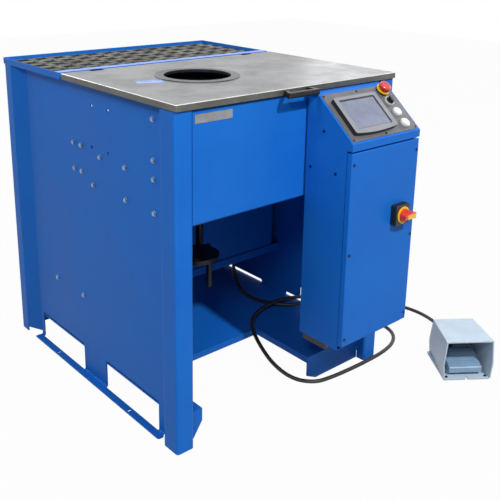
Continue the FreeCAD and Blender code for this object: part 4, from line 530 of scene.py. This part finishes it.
@dataclass
class Table:
    """The steel lid with its ring, handle and hinges, and the tread plate behind it."""

    ring_middle: Span = (308.0, 309.0)
    ring_bore: float = 101.5
    lid_top: float = 1000.0
    # Which part a face belongs to is told by how far it looks up: 1 is straight up, 0 is sideways.
    skirt_lean: float = 0.3
    edge_lean: float = 0.97
    bore_lean: float = 0.9
    hinge_gap_x: tuple[Span, ...] = ((95.0, 139.0), (706.0, 748.0))
    hinge_gap_y: Span = (560.0, 588.0)
    hinge_gap_high: float = 0.3
    label_x: Span = (93.0, 171.0)
    label_y: Span = (282.0, 321.0)
    label_high: float = 0.2
    label_turn: float = -22.0
    flange_x: Span = (2.0, 848.0)
    flange_y: Span = (590.5, 622.0)
    flange_z: Span = (997.0, 1000.0)
    tread_x: Span = (5.0, 845.0)
    tread_y: Span = (594.0, 978.0)
    tread_z: float = 988.0
    first_cell: Span = (54.5, 616.0)
    cell_pitch: float = 66.0
    bars: int = 3
    bar_spacing: float = 8.5
    bar_width: float = 5.5
    bar_height: float = 1.2
    bar_top_share: float = 0.7
    long_bar: float = 62.0
    short_bar: float = 40.0

    def build(self) -> None:
        """Dresses the table's nodes and adds its label, the rim's flange and the tread plate's bars."""
        # Painted shade on the skirt's faces and a painted highlight on the rounded edge, each picked by
        # how far a face looks up.
        dress("table_lid", TABLE_SHEET, [(TABLE_SKIRT_GRIME_AND_SHADE, self.is_skirt), (TABLE_EDGE_HIGHLIGHT, self.is_edge)])
        # The ring's bore is painted black as painted shade.
        dress("table_ring", RING_STEEL, [(BLACK_OXIDE_AND_BORE_SHADE, self.is_bore)])
        dress("lid_handle", BLACK_OXIDE_AND_BORE_SHADE)
        dress("lid_hinge_knuckles", BLACK_OXIDE_AND_BORE_SHADE)
        dress("tread_plate", TREAD_BASE)
        self.hinge_gap_shades()
        self.label()
        self.rim_flange()
        self.tread_bars()

    def is_skirt(self, place: Vector, normal: Vector) -> bool:
        """Tells whether a face is part of the lid's folded skirt or its underside."""
        return normal.z < self.skirt_lean

    def is_edge(self, place: Vector, normal: Vector) -> bool:
        """Tells whether a face is part of the lid's rounded edge."""
        return self.skirt_lean <= normal.z < self.edge_lean

    def is_bore(self, place: Vector, normal: Vector) -> bool:
        """Tells whether a face of the ring lies in its bore, which is painted black as painted shade."""
        away = math.hypot(place.x - self.ring_middle[0], place.y - self.ring_middle[1])
        return away < self.ring_bore and abs(normal.z) < self.bore_lean

    def hinge_gap_shades(self) -> None:
        """Thin black slabs on the lid, painted shade for the gaps that the hinges lie in, at the lid's
        back edge.
        """
        mesh = bmesh.new()
        for gap_x in self.hinge_gap_x:
            block(mesh, gap_x, self.hinge_gap_y, (self.lid_top, self.lid_top + self.hinge_gap_high))
        new_piece("hinge_gap_shades", mesh, HINGE_GAP_SHADE, "lid")

    def label(self) -> None:
        """A bare pale blue label, stuck on the lid beside the ring."""
        mesh = bmesh.new()
        block(mesh, self.label_x, self.label_y, (self.lid_top, self.lid_top + self.label_high),
              self.label_turn)
        new_piece("lid_label", mesh, LABEL_FILM, "lid")

    def rim_flange(self) -> None:
        """The rim's turned-in front flange, which the lid meets, painted pale as painted light on its
        lit top.
        """
        mesh = bmesh.new()
        block(mesh, self.flange_x, self.flange_y, self.flange_z)
        new_piece("rim_flange", mesh, LIT_FLANGE_COAT, "stand")

    def tread_bars(self) -> None:
        """Raised lens-shaped bars, three abreast, that cross as a net round square cells."""
        mesh = bmesh.new()
        columns = round((self.tread_x[1] - self.tread_x[0]) / self.cell_pitch) + 1
        rows = round((self.tread_y[1] - self.tread_y[0]) / self.cell_pitch) + 1
        for column in range(-1, columns):
            for row in range(-1, rows):
                x = self.first_cell[0] + column * self.cell_pitch
                y = self.first_cell[1] + row * self.cell_pitch
                for step in range(self.bars):
                    shift = (step - (self.bars - 1) / 2) * self.bar_spacing
                    self.one_bar(mesh, (x + self.cell_pitch / 2 + shift, y), self.long_bar, 1)
                    self.one_bar(mesh, (x, y + self.cell_pitch / 2 + shift), self.short_bar, 0)
        new_piece("tread_bars", mesh, TREAD_BAR, "stand")

    def one_bar(self, mesh: bmesh.types.BMesh, middle: Span, length: float, axis: int) -> None:
        """Adds one raised bar, cut short at the plate's edge, or none where it lies outside.

        Args:
            mesh: The mesh that gets it.
            middle: Its middle, from the corner.
            length: Its full length.
            axis: 0 where it lies along x, 1 where it lies along y.
        """
        limits = (self.tread_x, self.tread_y)
        wide = self.bar_width / 2
        low_side, high_side = limits[1 - axis]
        if not low_side + wide < middle[1 - axis] < high_side - wide:
            return
        start = max(limits[axis][0], middle[axis] - length / 2)
        end = min(limits[axis][1], middle[axis] + length / 2)
        half = (end - start) / 2
        if half < self.bar_width:
            return
        centre = [0.0, 0.0]
        centre[axis] = (start + end) / 2
        centre[1 - axis] = middle[1 - axis]
        low, high = [], []
        for along, across in BAR_OUTLINE:
            for ring, share, height in ((low, 1.0, 0.0), (high, self.bar_top_share, self.bar_height)):
                place = list(centre)
                place[axis] += along * (half - self.bar_height * (1 - share))
                place[1 - axis] += across * wide * share
                ring.append(mesh.verts.new(at(place[0], place[1], self.tread_z + height)))
        mesh.faces.new(high)
        mesh.faces.new(reversed(low))
        skin(mesh, low, high)


@dataclass
class CrimpingHead:
    """End plates, cylinder, piston and dies, the depth stop below and the hydraulic unit behind."""

    dies: int = 8
    turned: tuple[str, ...] = ("head_bottom_plate", "press_cylinder", "cone_piston")
    blackened: tuple[str, ...] = ("head_top_plate", "head_bolts", "stop_column", "stop_carriage",
                                  "stop_disc")
    enamelled: tuple[str, ...] = ("electric_motor", "hydraulic_pump")
    plated: tuple[str, ...] = ("valve_block", "pressure_pipe")
    moulded: tuple[str, ...] = ("stop_knob", "filler_cap")

    def build(self) -> None:
        """Dresses the head, the hydraulic unit and the depth stop."""
        cutters = tuple("die_%d" % number for number in range(1, self.dies + 1))
        for names, finish in ((self.turned, HEAD_STEEL), (self.blackened, BLACK_OXIDE_AND_BORE_SHADE),
                              (cutters, DIE_STEEL), (self.enamelled, CAST_ENAMEL),
                              (self.plated, ZINC), (self.moulded, BLACK_ABS_AND_SHADE)):
            for name in names:
                dress(name, finish)
        dress("stop_pad", BRASS)


@dataclass
class Cabinet:
    """Control cabinet with its console, emergency stop and main switch."""

    slope_foot: Point = (464.0, -177.0, 861.0)
    slope_rise: float = 118.0
    slope_run: float = 137.0
    # A face of the touch panel that leans out of the slope by less than this is a side of it.
    side_lean: float = 0.5
    # The yellow rings are the faces from the collar's foot upwards, and those that stand out of the
    # switch's plate. The slack keeps the collar's lowest face in and the plate's own face out.
    collar_height: float = 8.0
    switch_face: float = -199.0
    face_slack: float = 0.1
    glass: tuple[Span, Span] = ((40.0, 36.0), (187.0, 138.0))
    glass_height: float = 14.5
    seal_width: float = 1.6
    # The seal is wider along the screen's top and right, as painted shade.
    seal_and_shade_width_far: float = 5.0
    seal_height: float = 0.5
    plate_height: float = 2.0
    plate_screw_u: tuple[float, ...] = (12.5, 150.0, 285.5)
    plate_screw_v: Span = (12.0, 168.5)
    plate_screw_radius: float = 4.0
    plate_screw_height: float = 1.8
    inlay_x: Span = (671.0, 708.5)
    inlay_y: Span = (-226.1, -225.3)
    inlay_z: Span = (611.8, 624.2)

    def build(self) -> None:
        """Dresses the cabinet, its screws, its console and its switches."""
        for name in ("cabinet_box", "cabinet_cover"):
            dress(name, BLUE_COAT)
        dress("cabinet_screws", BLACK_OXIDE_AND_BORE_SHADE)
        dress("console_plate", CONSOLE_ANODISED)
        # The touch panel's sides, the walls of the screen's recess among them, are painted black as
        # painted shade.
        dress("touch_panel", BEZEL_FRONT, [(BLACK_ABS_AND_SHADE, self.is_side)])
        dress("touch_glass", SCREEN_FILM)
        for name in ("control_bezels", "lower_button", "upper_button"):
            dress(name, WHITE_ABS)
        for name in ("cable_entry", "selector_knob"):
            dress(name, BLACK_ABS_AND_SHADE)
        dress("estop_base", BLACK_ABS_AND_SHADE, [(YELLOW_ABS, self.is_collar)])
        for name in ("estop_stem", "estop_cap"):
            dress(name, RED_ABS)
        dress("switch_base", BLACK_ABS_AND_SHADE, [(YELLOW_ABS, self.is_switch_ring)])
        dress("switch_handle", SWITCH_RED)
        self.screen_seal_and_shade()
        self.plate_screws()
        self.switch_inlay()

    def is_side(self, place: Vector, normal: Vector) -> bool:
        """Tells whether a face of the touch panel stands on the slope, and so is a side of its body."""
        out = -normal.y * math.sin(self.slope_angle) + normal.z * math.cos(self.slope_angle)
        return out < self.side_lean

    def is_collar(self, place: Vector, normal: Vector) -> bool:
        """Tells whether a face belongs to the emergency stop's yellow collar."""
        return self.height_over_slope(place) > self.collar_height - self.face_slack

    def is_switch_ring(self, place: Vector, normal: Vector) -> bool:
        """Tells whether a face belongs to the main switch's yellow ring."""
        return place.y < self.switch_face - self.face_slack

    @property
    def slope_angle(self) -> float:
        """Returns how steeply the console rises, in radians."""
        return math.atan2(self.slope_rise, self.slope_run)

    def height_over_slope(self, place: Vector) -> float:
        """Returns how far a place stands out of the console's slope, in millimetres."""
        dy, dz = place.y - self.slope_foot[1], place.z - self.slope_foot[2]
        return -dy * math.sin(self.slope_angle) + dz * math.cos(self.slope_angle)

    def on_slope(self, u: float, v: float, w: float) -> Vector:
        """Turns console coordinates into the row frame.

        Args:
            u: Millimetres to the right of the console's lower left corner.
            v: Millimetres up its slope.
            w: Millimetres out of it.

        Returns:
            The same place in metres, in the row frame.
        """
        x, y, z = self.slope_foot
        return at(x + u, y + v * math.cos(self.slope_angle) - w * math.sin(self.slope_angle),
                  z + v * math.sin(self.slope_angle) + w * math.cos(self.slope_angle))

    def screen_seal_and_shade(self) -> None:
        """The thin black seal between the touch screen and its frame, widened along its top and right as
        painted shade where the recess's walls are in shade.
        """
        mesh = bmesh.new()
        (left, low), (right, high) = self.glass
        rings = []
        for share, lift in ((0.0, 0.0), (0.0, self.seal_height), (1.0, self.seal_height), (1.0, 0.0)):
            near, far = self.seal_width * share, self.seal_and_shade_width_far * share
            corners = ((left + near, low + near), (right - far, low + near),
                       (right - far, high - far), (left + near, high - far))
            height = self.glass_height + lift
            rings.append([mesh.verts.new(self.on_slope(u, v, height)) for u, v in corners])
        for inner, outer in zip(rings, rings[1:] + rings[:1]):
            skin(mesh, inner, outer)
        new_piece("screen_seal_and_shade", mesh, BLACK_ABS_AND_SHADE, "stand")

    def plate_screws(self) -> None:
        """Low black screws round the edge of the console plate."""
        mesh = bmesh.new()
        for u in self.plate_screw_u:
            for v in self.plate_screw_v:
                self.dome(mesh, u, v)
        new_piece("console_screws", mesh, BLACK_OXIDE_AND_BORE_SHADE, "stand")

    def dome(self, mesh: bmesh.types.BMesh, u: float, v: float) -> None:
        """Adds one domed screw head on the console plate.

        Args:
            mesh: The mesh that gets it.
            u: Its middle, to the right on the console.
            v: Its middle, up the slope.
        """
        rings = []
        for share, lift in DOME_PROFILE:
            radius = self.plate_screw_radius * share
            height = self.plate_height + self.plate_screw_height * lift
            ring = []
            for i in range(DOME_CORNERS):
                angle = 2 * math.pi * i / DOME_CORNERS
                ring.append(mesh.verts.new(self.on_slope(
                    u + radius * math.cos(angle), v + radius * math.sin(angle), height)))
            rings.append(ring)
        for lower, upper in zip(rings, rings[1:]):
            skin(mesh, lower, upper)
        mesh.faces.new(rings[-1])
        mesh.faces.new(reversed(rings[0]))

    def switch_inlay(self) -> None:
        """The yellow bar let into the front of the main switch's grip."""
        mesh = bmesh.new()
        block(mesh, self.inlay_x, self.inlay_y, self.inlay_z)
        new_piece("switch_inlay", mesh, YELLOW_ABS, "main_switch")


@dataclass
class FootPedal:
    """Cast foot pedal and the cable that joins it to the machine."""

    front_middle: Span = (964.0, -299.0)
    turn: float = -36.3
    screw_x: float = 66.0
    screw_y: float = 14.0
    screw_z: float = 6.0
    screw_radius: float = 5.2
    screw_taper: float = 0.8
    screw_height: float = 2.6
    screw_corners: int = 20
    # The cable's own thickness and length are in metres.
    cable_diameter: float = 0.013
    cable_length: float = 2.82
    # How finely it is drawn: corners added to each half of its outline, steps between two points of
    # its route, and the order of its curve.
    cable_corners: int = 5
    cable_steps: int = 12
    cable_order: int = 3
    route: Sequence[Point] = field(default_factory=lambda: (
        (707, 602, 237), (707, 602, 188), (699, 583, 140), (688, 541, 107), (682, 488, 96),
        (691, 428, 95), (720, 366, 95), (768, 316, 97), (827, 287, 106), (889, 276, 82),
        (938, 255, 40), (988, 224, 11), (1028, 172, 6.6), (1039, 108, 6.6), (1015, 45, 6.6),
        (957, 4, 6.6), (881, -12, 6.6), (794, -15, 6.6), (706, -13, 6.6), (623, -7, 6.6),
        (557, 6, 6.6), (508, 60, 12), (483, 130, 44), (492, 212, 83), (520, 283, 109),
        (574, 334, 106), (642, 361, 108), (716, 366, 110), (786, 350, 110), (857, 325, 100),
        (927, 313, 54), (998, 318, 14), (1074, 299, 6.6), (1148, 259, 6.6), (1206, 196, 6.6),
        (1228, 118, 6.6), (1218, 37, 9), (1175, -40, 19), (1111.4, -98.3, 24), (1078.9, -142.6, 24)))

    def build(self) -> None:
        """Dresses the pedal and lays its cable."""
        for name in ("pedal_base", "pedal_guard"):
            dress(name, PEDAL_ENAMEL)
        dress("pedal_treadle", TREADLE_ALLOY)
        for name in ("pedal_gland", "cable_gland"):
            dress(name, BLACK_ABS_AND_SHADE)
        self.base_screws()
        self.cable()

    def base_screws(self) -> None:
        """Round black screw heads in the front corners of the pedal's base."""
        mesh = bmesh.new()
        spin = Matrix.Rotation(math.radians(self.turn), 2)
        for side in (-1, 1):
            spot = Vector(self.front_middle) + spin @ Vector((side * self.screw_x, self.screw_y))
            middle = at(spot.x, spot.y, self.screw_z + self.screw_height / 2)
            bmesh.ops.create_cone(mesh, cap_ends=True, segments=self.screw_corners,
                                  radius1=self.screw_radius * MM,
                                  radius2=self.screw_radius * self.screw_taper * MM,
                                  depth=self.screw_height * MM, matrix=Matrix.Translation(middle))
        new_piece("pedal_screws", mesh, BLACK_OXIDE_AND_BORE_SHADE, "stand")

    def cable(self) -> None:
        """The cable: a smooth round line along the points of its route."""
        curve = bpy.data.curves.new("pedal_cable", "CURVE")
        curve.dimensions = "3D"
        curve.bevel_depth = self.cable_diameter / 2
        curve.bevel_resolution = self.cable_corners
        curve.resolution_u = self.cable_steps
        spline = curve.splines.new("NURBS")
        spline.points.add(len(self.route) - 1)
        for point, place in zip(spline.points, self.route):
            point.co = (*at(*place), 1.0)
        spline.order_u = self.cable_order
        spline.use_endpoint_u = True
        curve.materials.append(CABLE_RUBBER.material())
        piece = bpy.data.objects.new("pedal_cable", curve)
        bpy.context.scene.collection.objects.link(piece)
        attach(piece, "stand")
        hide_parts("foot_cable")
        LOG.info("laid the pedal cable")


@dataclass(frozen=True)
class Lamp:
    """A square soft box. Places are metres in the row frame, and its size is its edge in metres."""

    name: str
    place: Point
    aim: Point
    size: float
    watts: float

    def build(self) -> None:
        """Hangs the soft box and turns it to what it lights."""
        data = bpy.data.lights.new(self.name, "AREA")
        data.size = self.size
        data.energy = self.watts
        lamp = bpy.data.objects.new(self.name, data)
        bpy.context.scene.collection.objects.link(lamp)
        lamp.location = self.place
        away = Vector(self.aim) - Vector(self.place)
        lamp.rotation_euler = away.to_track_quat("-Z", "Y").to_euler()


@dataclass
class Studio:
    """Pale floor, soft lamps and the camera. Its places are metres in the row frame."""

    lamps: tuple[Lamp, ...] = (
        Lamp("key", (-0.46, -4.84, 5.4), (0.0, 0.0, 0.6), 0.3, 345.0),
        Lamp("fill", (-2.1, -1.8, 2.33), (0.0, 0.0, 0.5), 0.5, 22.0),
        Lamp("side", (-2.5, -0.1, 3.2), (-0.3, 0.2, 0.5), 1.0, 29.0),
        Lamp("top", (0.9, 1.3, 3.4), (0.1, 0.1, 0.9), 2.4, 24.0),
        Lamp("glance", (2.6, 1.5, 1.7), (0.2, 0.0, 1.0), 1.2, 5.0),
        Lamp("back", (-1.2, 3.6, 2.2), (0.0, 0.3, 0.5), 1.2, 30.0),
        Lamp("right", (3.4, -0.4, 2.2), (0.2, 0.0, 0.5), 1.2, 22.0))
    camera_place: Point = (-1.625397, -1.789281, 1.377281)
    yaw: float = 0.71825
    pitch: float = 0.27718
    roll: float = 0.01590
    lens: float = 54.45
    sensor: float = 36.0
    shift_x: float = 0.0128
    shift_y: float = -0.1800
    white: str = "ffffff"
    soft_colour: str = "f4f7fb"
    soft_light: float = 0.24
    floor_colour: str = "9a9b9d"
    floor_half: float = 9.0
    # The share of pure white that the camera sees of the floor. The rest is matt and takes shadow.
    floor_glow: float = 0.975

    def build(self) -> None:
        """Sets up the view, the world, the floor, the lamps and the camera."""
        bpy.context.scene.view_settings.view_transform = "Standard"
        self.world()
        self.floor()
        for lamp in self.lamps:
            lamp.build()
        self.camera()

    def world(self) -> None:
        """White to the camera and to reflections, and a soft even light on everything else."""
        world = bpy.data.worlds.new("studio_world")
        bpy.context.scene.world = world
        world.use_nodes = True
        tree = world.node_tree
        tree.nodes.clear()
        seen = seen_directly(tree)
        soft = add_node(tree, "ShaderNodeBackground", {
            "Color": linear(self.soft_colour), "Strength": self.soft_light})
        white = add_node(tree, "ShaderNodeBackground", {"Color": linear(self.white), "Strength": 1.0})
        mixed = add_node(tree, "ShaderNodeMixShader", {0: seen, 1: soft.outputs[0], 2: white.outputs[0]})
        add_node(tree, "ShaderNodeOutputWorld", {"Surface": mixed.outputs[0]})

    def floor(self) -> None:
        """A wide white floor that keeps a faint shadow."""
        mesh = bmesh.new()
        bmesh.ops.create_grid(mesh, x_segments=1, y_segments=1, size=self.floor_half)
        data = bpy.data.meshes.new("studio_floor")
        mesh.to_mesh(data)
        mesh.free()
        floor = bpy.data.objects.new("studio_floor", data)
        bpy.context.scene.collection.objects.link(floor)
        finish = bpy.data.materials.new("white_studio_floor")
        finish.use_nodes = True
        tree = finish.node_tree
        tree.nodes.clear()
        share = add_node(tree, "ShaderNodeMath", {0: seen_directly(tree), 1: self.floor_glow},
                         operation="MULTIPLY").outputs[0]
        matt = add_node(tree, "ShaderNodeBsdfDiffuse", {"Color": linear(self.floor_colour)})
        glow = add_node(tree, "ShaderNodeEmission", {"Color": linear(self.white), "Strength": 1.0})
        mixed = add_node(tree, "ShaderNodeMixShader", {0: share, 1: matt.outputs[0], 2: glow.outputs[0]})
        add_node(tree, "ShaderNodeOutputMaterial", {"Surface": mixed.outputs[0]})
        data.materials.append(finish)

    def camera(self) -> None:
        """Stands the camera where the photograph was taken from."""
        forward = Vector((math.sin(self.yaw) * math.cos(self.pitch),
                          math.cos(self.yaw) * math.cos(self.pitch), -math.sin(self.pitch)))
        right = Vector((math.cos(self.yaw), -math.sin(self.yaw), 0.0))
        up = right.cross(forward)
        turn_cos, turn_sin = math.cos(self.roll), math.sin(self.roll)
        rolled_right = right * turn_cos + up * turn_sin
        rolled_up = up * turn_cos - right * turn_sin
        data = bpy.data.cameras.new("photo_camera")
        data.lens = self.lens
        data.sensor_width = self.sensor
        data.shift_x = self.shift_x
        data.shift_y = self.shift_y
        camera = bpy.data.objects.new("photo_camera", data)
        bpy.context.scene.collection.objects.link(camera)
        basis = Matrix((rolled_right, rolled_up, -forward)).transposed().to_4x4()
        camera.matrix_world = Matrix.Translation(self.camera_place) @ basis
        bpy.context.scene.camera = camera


def main() -> None:
    """Builds the studio and every sub-assembly, and logs each assembly as it is built."""
    logging.basicConfig(level=logging.INFO, format="%(name)s: %(message)s")
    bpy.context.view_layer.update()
    Studio().build()
    for assembly in (Stand(), Table(), CrimpingHead(), Cabinet(), FootPedal()):
        assembly.build()
        LOG.info("built %s", type(assembly).__name__)


if __name__ == "__main__":
    main()
